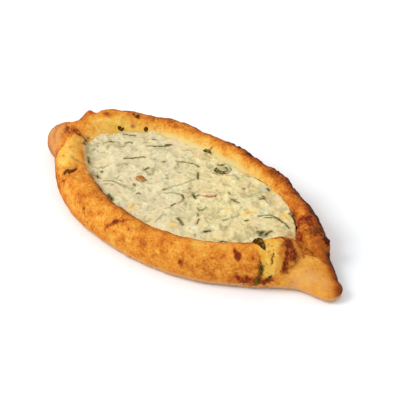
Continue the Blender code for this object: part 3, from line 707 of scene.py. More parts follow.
CHARRED = (
    (-66.8, 23.4, 20.8, 1.8, 1.1), (-64.4, 23.8, 20.6, 1.9, 1.1), (-73.2, 18.4, 21.6, 1.5, 0.9),
    (-49.6, 34.6, 20.8, 1.8, 0.9), (-46.8, 35.4, 20.6, 1.6, 0.8), (74.6, 25.2, 11.5, 2.6, 1),
    (78.5, 22, 14, 3, 1.1), (81.8, 19.2, 14.6, 2.8, 1.3), (-9.8, 43, 18.6, 1.5, 1),
    (-3, 40.8, 21.3, 1.5, 1.1), (7, 41.9, 19.1, 1.5, 0.9), (13.8, 40.1, 20.4, 1.6, 0.9),
    (26.9, 39.2, 20.8, 1.3, 1.1), (37, 37.7, 19.5, 1.6, 1), (44.4, 36.8, 17.6, 1.8, 0.9),
    (57.8, 29.8, 20.4, 1.8, 0.8), (69.8, -5.2, 24.8, 1.1, 0.8), (73.9, -6.9, 23, 1.1, 0.9),
    (58.2, -29.2, 21, 1, 0.6), (67, 25.5, 19.4, 2.6, 0.8), (71.5, 23.6, 17.6, 2.6, 0.6),
    (63, 27.5, 20, 2.2, 0.6), (68.6, 11, 17.2, 1.2, 0.8), (79, -12.4, 14.6, 1.6, 0.6),
)
GREEN_SMEARS = (
    (69.6, -23.2, 19, 1.3, 0.7), (71, -24.2, 16, 1.6, 1), (71.6, -24.9, 13.2, 1.6, 0.9),
    (71.4, -25.8, 10.2, 1.6, 0.7), (70.8, -26.6, 7.4, 1.8, 1), (69.4, -27.5, 5.6, 1.8, 0.9),
    (76, -21.8, 10.6, 1.2, 0.8), (74.4, -23.6, 8.6, 1.2, 0.7), (-70.6, 9.8, 18.6, 3, 0.3),
    (-51, 25.2, 15.6, 3, 0.3), (-17, 31, 16.4, 4, 0.35), (62.6, -16, 22.8, 3, 0.3),
)
PALE_PATCHES = (
    (-94, -13, 12, 8, 0.45), (-88, -18, 8, 5, 0.5), (-52, -47, 7, 6, 0.3),
    (-95, -4, 12, 6, 0.3), (104, -6, 6, 7, 0.3), (88, -16, 6, 8, 0.4), (92, -6, 10, 9, 0.35),
    (-62, -33.5, 20.3, 1.8, 0.5), (78, -1, 13, 3, 0.4),
)
FILMED = (
    (-66, -19, 18.6, 3.4, 0.5), (-60.5, -25.5, 19.4, 3.4, 0.5), (-54, -31, 19.6, 3.2, 0.5),
    (-48, -34.5, 20, 3, 0.4), (-72, -14, 17, 3, 0.4), (-41, -37.6, 20.4, 2.6, 0.35),
)
SPOT_SHAPE = (1, 1, 0.6)


def spots(points, table):
    """Soft spots in space, a little taller than wide, added up and kept below 1."""
    total = np.zeros(len(points))
    for x, y, z, reach, strength in table:
        total += strength * np.exp(-(((points - (x, y, z)) * SPOT_SHAPE) ** 2).sum(axis=1) / reach**2)
    return np.clip(total, 0, 1)


print("rusty spots:", len(RUSTY), "charred ones:", len(CHARRED), "glazed ones:", len(GLAZE_AND_HIGHLIGHT))

# %% [markdown]
# ## One number for each finish
# Rules add to the spots. Low down on the near side the dough is paler, partly pale dough and partly
# painted light bounced from the floor. Furrows are darkened with brown and painted shade, a film of
# cheese covers the slope towards the filling, and where the skin turns just away from the camera and
# stands out, it is darkened with char and painted shade. Then each point of the mesh stores its numbers.

# %% Store the numbers
# paler dough low down, partly painted light bounced from the floor: from and to which height, and from and to
# which y
FLOOR_LIGHT_HEIGHTS, FLOOR_LIGHT_SIDE = (6.5, 1.5), (30, -10)
FURROW_SPREAD = 1.1
# the film of cheese: x on the far side and on the near side, and the share of the way across the rim
FAR_FILM, FAR_FILM_END, FAR_FILM_THINS, THINNED = (-66, -40), (52, 40), (-4, 24), 0.85
NEAR_FILM, FILM_ACROSS = (-44, -58), (0.76, 1.0)
# how much char and painted shade darken the outline band where the skin stands out, and from which relief
OUTLINE_CHAR_AND_SHADE, CHARRED_RELIEF = 0.5, (0.0, 0.6)
MATT_TAIL = (0.45, 86)


def give(mesh, name, values):
    """Stores a number for each point of a mesh, for its material to read."""
    mesh.attributes.new(name, "FLOAT", "POINT").data.foreach_set("value", np.asarray(values, float))


# paler low down on the near side: partly pale dough, partly painted light bounced from the floor
pale_and_floor_light = smooth_step(*FLOOR_LIGHT_HEIGHTS, z) * smooth_step(*FLOOR_LIGHT_SIDE, y)
pale_and_floor_light = np.maximum(pale_and_floor_light, spots(points, PALE_PATCHES))
# brown and painted shade along the folds
furrow_brown_and_shade = np.zeros(len(points))
for half_width, _, darkness, line in FURROWS.values():
    away = from_line(bent, line) / (FURROW_SPREAD * half_width)
    furrow_brown_and_shade = np.maximum(furrow_brown_and_shade, darkness * np.exp(-(away**2)))
film_far = far * smooth_step(*FAR_FILM_END, x) * smooth_step(*FAR_FILM, x)
film_far *= 1 - THINNED * smooth_step(*FAR_FILM_THINS, x)
film_near = (1 - far) * smooth_step(*NEAR_FILM, x)
film = np.maximum(film_far, film_near) * smooth_step(*FILM_ACROSS, rim_share)
# char spots, and painted shade along the outline band where the skin stands out
char_and_shade = spots(points, CHARRED) + OUTLINE_CHAR_AND_SHADE * far_outline * smooth_step(*CHARRED_RELIEF, relief)
numbers = {
    "toast_and_shade": toast_and_shade,
    "raised": np.where(under, 0.5, 0.5 + 0.5 * np.clip(relief, -1, 1)),
    "glaze_and_highlight": spots(points, GLAZE_AND_HIGHLIGHT),
    "rust": spots(points, RUSTY),
    "char_and_shade": np.clip(char_and_shade, 0, 1),
    "pale_and_floor_light": pale_and_floor_light,
    "furrow_brown_and_shade": furrow_brown_and_shade,
    "film": np.maximum(film, spots(points, FILMED)),
    "rough": calm_ends(x, *MATT_TAIL),
    "green": spots(points, GREEN_SMEARS),
}
for name, values in numbers.items():
    give(crust_mesh, name, values)
print("each point of the crust holds", *numbers)

# %% [markdown]
# ## How node materials are put together here
# A material is a small network: noise textures in the object's own space give variation at several
# sizes, the numbers stored on the points say where which colour belongs, and a colour ramp turns
# toast into colour. A few helpers keep each material short. Colours are named as they look in the
# finished picture, so the helper divides by the strength of the light.

# %% Helpers for materials
LIGHT = 1.2


def paint(red, green, blue):
    """A colour as it shall look in the picture, from 0 to 255, as the share of light it reflects."""
    shares = [c / 255 for c in (red, green, blue)]
    linear = [c / 12.92 if c <= 0.04045 else ((c + 0.055) / 1.055) ** 2.4 for c in shares]
    return (*[c / LIGHT for c in linear], 1)


class Finish:
    """A material under construction."""

    def __init__(self, name):
        self.material = bpy.data.materials.new(name)
        self.material.use_nodes = True
        self.tree = self.material.node_tree
        self.shader = self.tree.nodes["Principled BSDF"]
        self.place = self.tree.nodes.new("ShaderNodeTexCoord").outputs["Object"]

    def join(self, source, socket):
        if isinstance(source, bpy.types.NodeSocket):
            self.tree.links.new(source, socket)
        else:
            socket.default_value = source

    def stored(self, name):
        """The number stored on the mesh under this name."""
        node = self.tree.nodes.new("ShaderNodeAttribute")
        node.attribute_name = name
        return node.outputs["Fac"]

    def noise(self, pitch, detail=3.0, roughness=0.55):
        """Noise from 0 to 1 with features about pitch millimetres apart."""
        node = self.tree.nodes.new("ShaderNodeTexNoise")
        self.join(self.place, node.inputs["Vector"])
        node.inputs["Scale"].default_value = 1 / (pitch * MM)
        node.inputs["Detail"].default_value = detail
        node.inputs["Roughness"].default_value = roughness
        return node.outputs["Fac"]

    def math(self, operation, *values):
        node = self.tree.nodes.new("ShaderNodeMath")
        node.operation = operation
        for value, socket in zip(values, node.inputs):
            self.join(value, socket)
        return node.outputs[0]

    def times(self, first, second):
        return self.math("MULTIPLY", first, second)

    def add(self, first, *terms):
        """first plus each (value, weight) of the terms, where 0.5 counts as nothing."""
        for value, weight in terms:
            first = self.math("ADD", first, self.times(self.math("SUBTRACT", value, 0.5), weight))
        return first

    def matt(self, value, least, varied=0.3):
        """Roughness from least up, varied by a value."""
        return self.math("ADD", self.times(value, varied), least)

    def step(self, value, low, high, to=1.0):
        """0 up to low and to from high on, smooth between them."""
        node = self.tree.nodes.new("ShaderNodeMapRange")
        node.interpolation_type = "SMOOTHSTEP"
        names = ("Value", "From Min", "From Max", "To Min", "To Max")
        for source, name in zip((value, low, high, 0.0, to), names):
            self.join(source, node.inputs[name])
        return node.outputs["Result"]

    def patch(self, name, low, high, to, *terms):
        """Where the stored number is high, with an edge broken up by the terms; nothing where it is 0."""
        stored = self.stored(name)
        broken = self.step(self.add(stored, *terms), low, high, to)
        return self.times(broken, self.step(stored, 0.02, 0.25))

    def ramp(self, value, stops):
        """Colours at places from 0 to 1."""
        node = self.tree.nodes.new("ShaderNodeValToRGB")
        band = node.color_ramp.elements
        while len(band) < len(stops):
            band.new(0.5)
        for element, (place, colour) in zip(band, stops):
            element.position, element.color = place, colour
        self.join(value, node.inputs["Fac"])
        return node.outputs["Color"]

    def blend(self, share, below, above, way="MIX"):
        node = self.tree.nodes.new("ShaderNodeMix")
        node.data_type, node.blend_type = "RGBA", way
        sockets = [s for s in node.inputs if s.enabled]
        for value, socket in zip((share, below, above), sockets):
            self.join(value, socket)
        return next(s for s in node.outputs if s.enabled)

    def bump(self, height, depth, below=None):
        """Fine relief, depth millimetres deep."""
        node = self.tree.nodes.new("ShaderNodeBump")
        node.inputs["Strength"].default_value = 1.0
        node.inputs["Distance"].default_value = depth * MM
        self.join(height, node.inputs["Height"])
        if below:
            self.join(below, node.inputs["Normal"])
        return node.outputs["Normal"]

    def finish(self, colour, roughness, normal, **constants):
        self.join(colour, self.shader.inputs["Base Color"])
        self.join(roughness, self.shader.inputs["Roughness"])
        self.join(normal, self.shader.inputs["Normal"])
        for name, value in constants.items():
            self.shader.inputs[name.replace("_", " ")].default_value = value
        print("finish", self.material.name, "with", len(self.tree.nodes), "nodes")
        return self.material


# %% [markdown]
# ## The baked dough
# Toast runs from pale crumb over gold and orange to dark brown, and along the outline it also holds
# painted shade. Rust and char don't lie in smooth spots on real dough, so noise breaks up their edges;
# the char also holds painted shade along the outline. The glaze is cheese that ran over the roll and
# baked yellow, with a painted highlight on the near roll by the knob. Furrows are darkened with brown
# and painted shade, and the paler dough low down on the near side is partly painted light from the
# floor.

# %% Material of the crust
def baked_dough():
    f = Finish("baked_dough")
    broad, middle, fine, grain = f.noise(10, 3.0), f.noise(4.2, 3.0), f.noise(1.4, 2.0), f.noise(0.6, 2.0)
    unrest = f.add(0.0, (broad, 0.36), (middle, 0.4), (fine, 0.4), (grain, 0.2), (f.stored("raised"), 0.14))
    toast_and_shade = f.math("ADD", f.stored("toast_and_shade"), f.times(unrest, f.stored("rough")))
    colour = f.ramp(toast_and_shade, (
        (0.0, paint(252, 232, 178)), (0.15, paint(250, 216, 136)), (0.3, paint(248, 194, 92)),
        (0.42, paint(242, 168, 66)), (0.52, paint(230, 143, 48)), (0.63, paint(204, 115, 37)),
        (0.76, paint(160, 80, 30)), (0.88, paint(110, 52, 24)), (1.0, paint(66, 34, 18)),
    ))
    # pale patches, and paler dough low down that is partly painted light from the floor
    colour = f.blend(f.patch("pale_and_floor_light", 0.1, 0.9, 0.85, (middle, 0.8)), colour, paint(230, 178, 122))
    film = f.patch("film", 0.25, 0.95, 0.75, (middle, 0.8), (fine, 0.3))
    colour = f.blend(film, colour, paint(242, 222, 156))
    # baked cheese glaze, and a painted highlight on the near roll by the knob
    glaze_and_highlight = f.patch("glaze_and_highlight", 0.25, 0.75, 0.9, (middle, 1.6), (fine, 0.8))
    colour = f.blend(glaze_and_highlight, colour, f.ramp(middle, ((0.35, paint(238, 178, 58)), (0.65, paint(252, 212, 108)))))
    freckles = f.step(f.add(f.noise(2.0, 2.0), (broad, 0.8)), 0.6, 0.7, 0.6)
    freckles = f.times(freckles, f.times(f.step(toast_and_shade, 0.38, 0.55), f.stored("rough")))
    colour = f.blend(freckles, colour, paint(182, 88, 30))
    rust = f.patch("rust", 0.05, 1.15, 0.95, (middle, 1.3), (fine, 0.5))
    colour = f.blend(rust, colour, f.ramp(f.add(rust, (middle, 1.6), (fine, 0.9)), (
        (0.25, paint(216, 120, 42)), (0.55, paint(184, 84, 30)), (0.8, paint(152, 54, 24)),
        (1.0, paint(118, 36, 18)),
    )))
    green = f.patch("green", 0.25, 0.9, 0.85, (middle, 1.4), (fine, 1.6))
    colour = f.blend(green, colour, f.ramp(fine, ((0.35, paint(64, 46, 8)), (0.65, paint(116, 90, 20)))))
    # brown and painted shade in the folds and the crack
    furrow_brown_and_shade = f.patch("furrow_brown_and_shade", 0.2, 0.95, 0.9, (fine, 0.8))
    colour = f.blend(furrow_brown_and_shade, colour, f.ramp(furrow_brown_and_shade, ((0.25, paint(182, 104, 42)), (0.85, paint(92, 44, 14)))))
    # char spots, and painted shade along the outline band
    char_and_shade = f.patch("char_and_shade", 0.25, 1.0, 0.9, (middle, 1.2), (fine, 0.8))
    colour = f.blend(char_and_shade, colour, f.ramp(f.add(char_and_shade, (fine, 1.0)), (
        (0.3, paint(150, 76, 30)), (0.6, paint(100, 42, 18)), (0.9, paint(58, 22, 10)),
    )))
    roughness = f.matt(f.add(fine, (glaze_and_highlight, -0.5)), 0.55)
    normal = f.bump(grain, 0.1, f.bump(fine, 0.25, f.bump(middle, 0.35)))
    return f.finish(colour, roughness, normal, Specular_IOR_Level=0.06, Subsurface_Weight=0.06,
                    Subsurface_Radius=(0.003, 0.0015, 0.0006), Subsurface_Scale=0.5)


crust_mesh.materials.append(baked_dough())

# %% [markdown]
# ## The bed of cheese
# The filling is soft white cheese, spooned in and pressed with a fork: a low dome with curds of
# several sizes, spread a little way up the dough all round. Past the edge of the opening it climbs
# the dough and then dives into it, so that the line where the two meet comes out ragged.

# %% Curds, and the film on the dough
FILL_DOME, FILL_DOME_REACH, FILL_SINK = 2.0, 16.0, 0.2
# pitch, height and layer of noise: of the dome, of the film on the dough and of the curds
FILL_WAVES = ((10, 0.5, 7), (5, 0.25, 9))
FILM_WAVES = ((5, 0.5, 12), (1.8, 0.3, 13))
CURD_WAVES = ((5.5, 0.35, 12), (2.4, 0.26, 10), (1.0, 0.07, 11))
# round curds: pitch, layer, how far they are pushed about, and height
ROUND_CURDS = ((4.2, 2, 0.9, 0.65), (1.7, 3, 0.5, 0.15))
CURD_LENGTH, CURD_PUSH_PITCH, MEAN_DISTANCE = 1.25, 6, 0.45
# the film: height at the edge, fall for each millimetre past it, steepest climb
FILM_HEIGHT, FILM_FALL, FILM_CLIMB = 0.75, 0.75, 2.5
# the film ends towards the tail and is thinner on the far side: depth, and from and to which x
FILM_END, THIN_FILM = (3, 48, 54), (0.7, 4, 22)
FAR_EDGE_WIDTH, FAR_EDGE_ENDS = 2, (60, 50)


def past_opening(x, y):
    """How far each place lies past the edge of the opening; 0 inside."""
    return np.where(outside_opening(x, y) > 0, distance_to(opening_edge, x, y), 0)


def fill_top(x, y):
    """Height of the cheese inside the opening: a low dome with soft curds."""
    dome = FILL_DOME * smooth_step(0, FILL_DOME_REACH, distance_to(opening_edge, x, y))
    return with_waves(FILL_EDGE - FILL_SINK + dome, x, y, FILL_WAVES)


def curds(x, y):
    """Small curds and furrows on the cheese, in millimetres."""
    level = np.zeros(len(x))
    flat = np.column_stack([x, y * CURD_LENGTH, level])
    push = np.column_stack([lumps(flat, CURD_PUSH_PITCH, 8), lumps(flat, CURD_PUSH_PITCH, 9), level])
    mounds = 0
    for pitch, layer, pushed, height in ROUND_CURDS:
        near, _ = cells(flat + pushed * push, pitch, layer)
        mounds = mounds + height * (MEAN_DISTANCE - near)
    return waves(flat, CURD_WAVES, mounds)


def cheese_top(x, y):
    """Height of the cheese, also where it runs up the dough and ends."""
    past, far = past_opening(x, y), far_share(x, y)
    film = with_waves(FILM_HEIGHT, x, y, FILM_WAVES) - FILM_FALL * past
    (ends, *end_at), (thinner, *thin_at) = FILM_END, THIN_FILM
    film = film - ends * smooth_step(*end_at, x) - thinner * far * smooth_step(*thin_at, x)
    # on the far side the cheese comes up to the dough at the edge
    by_edge = np.exp(-((distance_to(opening_edge, x, y) / FAR_EDGE_WIDTH) ** 2))
    inside = fill_top(x, y) + curds(x, y)
    inside = inside + RIM_OVER_FILL * far * smooth_step(*FAR_EDGE_ENDS, x) * by_edge
    on_dough = np.minimum(dough_top(x, y) - RIM_OVER_FILL + film, inside + FILM_CLIMB * past)
    return np.where(past > 0, on_dough, inside)


print("the cheese is", cheese_top(np.zeros(1), np.zeros(1)), "mm high at the middle of the boat")

# %% [markdown]
# ## The sheet of cheese
# A grid is enough for a surface that is open to the sky. Its points well outside the opening are
# deleted, the rest are lifted to the cheese's height, and a wall and a flat bottom close it.

# %% Lift a grid to the cheese
GRID_PITCH, GRID_SIZE, GRID_CENTRE = 0.5, (160, 80), (0, -3)
SPREAD, WALL_GAP = 2.5, 0.5
bm = bmesh.new()
columns, rows = (round(length / GRID_PITCH) for length in GRID_SIZE)
bmesh.ops.create_grid(bm, x_segments=columns, y_segments=rows, size=0.5)
plan = np.array([vert.co[:2] for vert in bm.verts]) * GRID_SIZE + GRID_CENTRE
for vert, place in zip(bm.verts, plan):
    vert.co = (*place, 0)
too_far = past_opening(*plan.T) > SPREAD
bmesh.ops.delete(bm, geom=[vert for vert, out in zip(list(bm.verts), too_far) if out], context="VERTS")
cheese_plan = np.array([vert.co[:2] for vert in bm.verts])
heights = cheese_top(*cheese_plan.T)
for vert, height in zip(bm.verts, heights):
    vert.co.z = height
border = [edge for edge in bm.edges if edge.is_boundary]
wall = bmesh.ops.extrude_edge_only(bm, edges=border)["geom"]
for vert in (g for g in wall if isinstance(g, bmesh.types.BMVert)):
    vert.co.z = FLOOR + WALL_GAP
bmesh.ops.edgeloop_fill(bm, edges=[g for g in wall if isinstance(g, bmesh.types.BMEdge)])
bmesh.ops.recalc_face_normals(bm, faces=bm.faces[:])
cheese_mesh = bpy.data.meshes.new("cheese_bed")
bm.to_mesh(cheese_mesh)
bm.free()
cheese_mesh.transform(Matrix.Translation(Vector(MOVE)))
cheese_mesh.transform(Matrix.Scale(MM, 4))
cheese_mesh.shade_smooth()
cheese = placed("cheese_bed", cheese_mesh)
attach(cheese, "root")
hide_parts("cheese_filling")
print("cheese:", len(cheese_mesh.vertices), "points, from", heights.min(), "to", heights.max(), "mm high")

# %% [markdown]
# ## Dill: where each strand lies
# Strands of dill were stirred into the cheese. Some lie on top, dark and sharp. Most have a film of
# cheese over them and show as grey-green streaks. The clear ones are listed one by one. Several hundred
# faint ones follow a seeded rule, because nobody could tell them apart, and the seed makes them
# come out the same each time.

# %% Strands listed one by one, and a seeded crowd
# the points along a strand as x, y, x, y, then its width and how dark it is from 0 to 1
DILL = (
    ((-46.1, 11.2, -42.4, 15.4, -38.9, 20.8), 0.7, 0.8), ((-40.2, 20.5, -38.4, 22.7), 1.5, 0.95),
    ((-48.2, -5.9, -44.6, -1.5, -41.6, 3.5, -40.1, 3.1), 0.7, 0.8),
    ((-47.5, -11.7, -46.7, -9.3, -44.3, -7.7), 1.9, 0.45), ((-33.8, -5.1, -33.3, -2.3), 1.1, 0.85),
    ((-33.3, -2.3, -31, -1.6, -27.6, -0.3), 0.6, 0.35), ((-32, -5.5, -28.6, -5.9), 0.9, 0.5),
    ((-54.6, -25.7, -51, -25.5, -48.2, -25.3), 0.7, 0.55), ((-51.3, -25.1, -49.3, -25.7), 1.5, 0.75),
    ((-45.5, -25.8, -41.6, -23.4, -36.7, -23.8, -32.1, -23.1), 0.7, 0.6),
    ((-41.6, -23.4, -40.4, -18.9), 0.6, 0.5), ((-25.2, -12.3, -22.5, -11.1, -20, -10.5), 0.8, 0.45),
    ((-29.7, -18.1, -28.5, -18.7), 1, 0.85), ((-28.7, -20.1, -26.8, -23.1), 0.6, 0.35),
    ((-28.8, -16.7, -25.2, -18.1, -22.8, -18.3), 0.7, 0.4), ((-51.4, -21.4, -50.7, -21.1), 1, 0.85),
    ((-58.3, 6.2, -57.9, 8.3, -55.2, 8.6), 0.8, 0.7), ((-63.5, -2, -61.6, -5), 0.9, 0.6),
    ((-70.6, -6.1, -69.7, -2.9), 0.8, 0.5), ((-67.3, -1.4, -65.8, 2, -63.4, 3.5), 1.1, 0.5),
    ((-66.4, 1.7, -65.2, 2.9), 0.8, 0.7), ((-62.8, 4.5, -59.8, 3.6), 0.9, 0.45),
    ((-68.2, -10, -67.8, -9.1), 1.1, 0.55), ((-65.9, -17.1, -63.3, -18.8), 1.5, 0.9),
    ((-56.4, -27.4, -55.6, -26.8), 1, 0.8), ((-35.4, -33.2, -31.2, -34.8), 1.8, 0.95),
    ((-36.9, -34.5, -33.8, -36.4), 1.4, 0.4), ((-43.1, -31.8, -38.5, -33.6), 1.5, 0.4),
    ((-25.3, 12.3, -21.4, 14.6, -17, 17.3, -12.7, 17.6), 0.7, 0.65), ((-23.8, 11.8, -22, 10.7), 0.9, 0.55),
    ((-22.5, 14.2, -20.3, 15.1), 1, 0.8), ((-14.8, 17.3, -12.6, 17.5), 1, 0.75),
    ((-26.7, 18, -23.8, 17.7), 0.9, 0.4), ((-9.7, 13.3, -5.6, 8.8), 0.9, 0.75),
    ((-8.6, 9.6, -6.7, 12.5), 0.8, 0.4), ((-7, 8.7, -8, 3.1, -9.6, -0.2, -10.9, -3), 0.7, 0.5),
    ((-11.3, -3.4, -12.6, -6.9, -13.8, -11.5), 0.8, 0.45), ((-13.8, -11.5, -13.4, -9.5), 1, 0.7),
    ((-13.6, -6.6, -11.4, -7.5), 0.8, 0.5),
    ((-11.7, -13.1, -8.7, -9.7, -5.8, -7.8, -3, -7.6, -0.1, -8.6, 0.5, -11.5), 0.7, 0.62),
    ((0.5, -11.5, 0, -13.5), 0.8, 0.6), ((2.8, -10.7, 3.7, -13.4), 0.7, 0.5),
    ((-2.8, -7.4, -0.7, -8.5), 1, 0.75), ((-1.4, -18.3, -0.9, -15.8), 1.1, 0.85),
    ((-0.9, -15.8, -0.6, -13.7), 0.6, 0.3), ((1.1, -2.9, 4.8, -4.5), 1.1, 0.85),
    ((3.2, -2.7, 3.9, -0.9), 0.9, 0.7), ((7.5, 0.9, 10.4, 4.4), 0.8, 0.6),
    ((10.6, -10.1, 13.1, -10.5, 14.4, -9.4, 14.2, -6.6), 1, 0.6), ((12.5, -10.6, 14.7, -9.7), 1, 0.7),
    ((13.8, -13.2, 16, -15.3), 0.9, 0.75), ((18.1, -16.9, 19.6, -20.2), 1.1, 0.75),
    ((26.6, -22.4, 29.1, -19.9), 1.1, 0.85), ((8.8, -24.1, 10.8, -24.6, 13.9, -25.7), 1.2, 0.95),
    ((9, -22.7, 11.9, -20.8, 15.2, -19.5), 1.2, 0.35), ((16.1, -28.1, 21.2, -32.9, 22.5, -35.2), 1, 0.25),
    ((-22.7, -23.5, -22.3, -22.2, -20.9, -22.5), 0.8, 0.65), ((-21.4, -24.1, -18.1, -26.5), 0.9, 0.35),
    ((-16.4, -25.5, -15.4, -24.9), 1, 0.5), ((-4, 19.6, -1.1, 19.8), 0.8, 0.6),
    ((-6.7, 18.4, -5.6, 20.5), 0.7, 0.35), ((17.4, 27.1, 20, 22.3), 0.7, 0.5),
    ((11.9, 27.9, 15.9, 26.8), 0.6, 0.3), ((27.7, 30, 29.2, 29.4), 1.3, 0.95),
    ((30.7, 22.5, 32.2, 22.5), 1, 0.85), ((31.6, 19.4, 33.4, 21.6), 0.8, 0.8),
    ((29.7, 19.9, 31.7, 21), 0.7, 0.5), ((18.4, 15.6, 22.8, 16.6, 27.5, 17.3), 0.8, 0.35),
    ((18.6, 19.6, 19.3, 20.5), 1, 0.75), ((20.3, 8.5, 22.4, 8.6, 25.3, 8.3), 1.3, 0.75),
    ((20.5, 9.1, 22, 10), 0.9, 0.6), ((41.1, 7.2, 43.2, 10.7, 47.7, 14, 52.4, 13.8, 58.8, 12.5), 0.7, 0.8),
    ((44.4, 8.5, 47, 10.6, 49.2, 13.2), 0.7, 0.7), ((51.7, 13.8, 59.8, 12.3), 0.7, 0.8),
    ((51.1, 22, 53.3, 21.2, 56.7, 20), 0.9, 0.95), ((49.4, -3, 51.2, -2.5, 51.6, -0.4), 1.6, 0.85),
    ((52, -4.2, 52, -1.8), 1.1, 0.85), ((54.2, -1.6, 53.7, 1.5, 54.4, 3.2), 1.5, 0.85),
    ((43.5, -2.3, 46.5, -3.2, 49.3, -5.4), 1, 0.5), ((45.5, -1.2, 47.9, -1.3), 1, 0.55),
    ((40.2, -11.2, 43.3, -13.1, 47.9, -14.8), 0.9, 0.4),
    ((44.8, -7.1, 49.1, -10.2, 52.5, -10.7), 0.9, 0.4), ((45.5, -14.6, 50.8, -14.6), 0.7, 0.5),
    ((42.7, -9, 38.3, -8.2), 0.7, 0.3), ((38.3, -22.6, 39.6, -20.7, 42.1, -19.2), 0.7, 0.95),
    ((-49, 19.1, -48.1, 19.7), 1.2, 0.85), ((-31.4, 7.3, -30.2, 8.5), 1, 0.75),
    ((-3.8, -1.7, -3, -0.4), 0.8, 0.65), ((15.1, 11.4, 16.3, 10.8), 0.8, 0.7),
    ((22.4, -3.1, 21.6, -1.2), 0.6, 0.5), ((28.7, -8.5, 30.1, -5.9), 1, 0.6),
    ((38.3, -0.7, 39, 0.7), 1.1, 0.85), ((-17.6, 6.2, -16.1, 7), 1, 0.5),
    ((-19.6, -2.1, -18.3, -1.9), 1, 0.5), ((23.7, -7.2, 25.2, -7.1), 0.8, 0.4),
    ((44.3, 4.8, 44.3, 6), 0.9, 0.4), ((9, 21.9, 10.1, 22.8), 0.8, 0.4),
    ((-37.2, 12.1, -36.7, 13.2), 1, 0.3), ((-7, 27.1, -4.6, 28.7), 0.8, 0.85),
    ((-27.7, -5.2, -24.1, -4.2), 0.6, 0.25), ((-41.3, -14.4, -39.8, -11.9, -36.4, -10.6), 0.7, 0.3),
    ((-39.1, -27.1, -36.8, -26.2), 0.8, 0.35), ((-32.8, -27.3, -30.8, -27.9), 0.7, 0.45),
    ((-35.9, -23, -31.5, -22), 0.6, 0.5), ((-68.2, -12.1, -66, -11.3), 0.9, 0.3),
    ((-61.1, -11.6, -55.5, -7.8), 0.7, 0.22), ((-52.3, 2.1, -48.3, 3.4), 0.7, 0.22),
    ((-40.1, -5.7, -37.8, -4.9), 0.8, 0.35), ((-42, 9, -35.5, 10.2), 0.7, 0.2),
    ((-29.3, 25.1, -26.3, 26), 0.9, 0.35), ((-15.1, 26.1, -10.6, 27.8), 0.8, 0.25),
    ((-6.9, 30.5, -2.4, 30.4), 0.7, 0.4), ((-10.9, 6.3, -7.5, 5.9), 0.6, 0.25),
    ((-12.9, -20.1, -11.5, -20), 1, 0.4), ((-1.6, -25.2, 1.4, -26), 0.9, 0.3),
    ((9.4, -13, 12.8, -13.4), 0.8, 0.3), ((26, -12.2, 24.5, -8.8), 0.7, 0.3),
    ((2.1, 8.6, 5, 9.5), 0.7, 0.25), ((35.6, 23.4, 38.3, 21.1), 0.8, 0.4),
    ((38.7, 15.6, 40.8, 19.2, 45, 21.3), 0.7, 0.25), ((-64.8, 11.7, -61.4, 13.9, -58.6, 15), 0.7, 0.7),
)
FAINT_STRANDS, HERB_SEED = 380, 5
FAINT_LENGTHS, FAINT_WIDTHS, FAINT_DARK = (1.2, 2.5, 4.0, 6.0), (0.4, 1.2), (0.12, 0.22, 0.34, 0.48)
FAINT_X, FAINT_Y, FAINT_BEND, EDGE_CLEARANCE = (-76, 72), (-42, 36), 0.25, 0.8


def way_of(flat, steps=9):
    """A strand's points, evenly spaced and with rounded corners."""
    corners = np.array(flat, float).reshape(-1, 2)
    run = np.concatenate([[0], np.cumsum(np.hypot(*np.diff(corners, axis=0).T))])
    at = np.linspace(0, run[-1], steps)
    way = np.column_stack([np.interp(at, run, corners[:, 0]), np.interp(at, run, corners[:, 1])])
    for _ in range(2):
        way[1:-1] = (way[:-2] + 2 * way[1:-1] + way[2:]) / 4
    return way


def faint_strands():
    """Many short bent strands, inside the opening."""
    rng = random.Random(HERB_SEED)
    made = []
    while len(made) < FAINT_STRANDS:
        middle = np.array([rng.uniform(*FAINT_X), rng.uniform(*FAINT_Y)])
        turn, length, bend = rng.uniform(0, math.tau), rng.choice(FAINT_LENGTHS), rng.gauss(0, FAINT_BEND)
        half = np.array([math.cos(turn), math.sin(turn)]) * length / 2
        side = np.array([-half[1], half[0]]) * bend
        clear = min(-outside_opening(*point) for point in (middle - half, middle, middle + half))
        width, dark = rng.uniform(*FAINT_WIDTHS), rng.choice(FAINT_DARK)
        if clear > EDGE_CLEARANCE:
            made.append((np.concatenate([middle - half, middle + side, middle + half]), width, dark))
    return made


strands = [(way_of(flat), width, dark) for flat, width, dark in [*DILL, *faint_strands()]]
print("strands:", len(DILL), "placed and", FAINT_STRANDS, "seeded")

# %% [markdown]
# ## The dill seen through the cheese
# A strand under a film of cheese has no edge of its own. So the cheese itself is tinted along each
# strand: every point of its mesh gets a number that says how much green shines through there. More
# numbers tell where the cheese is greenish, golden, toasted or whitish, and it is milkier towards
# the knob. One more holds the height of the curds, by which the material paints their tops lighter
# and their hollows darker, as painted highlight and shade.

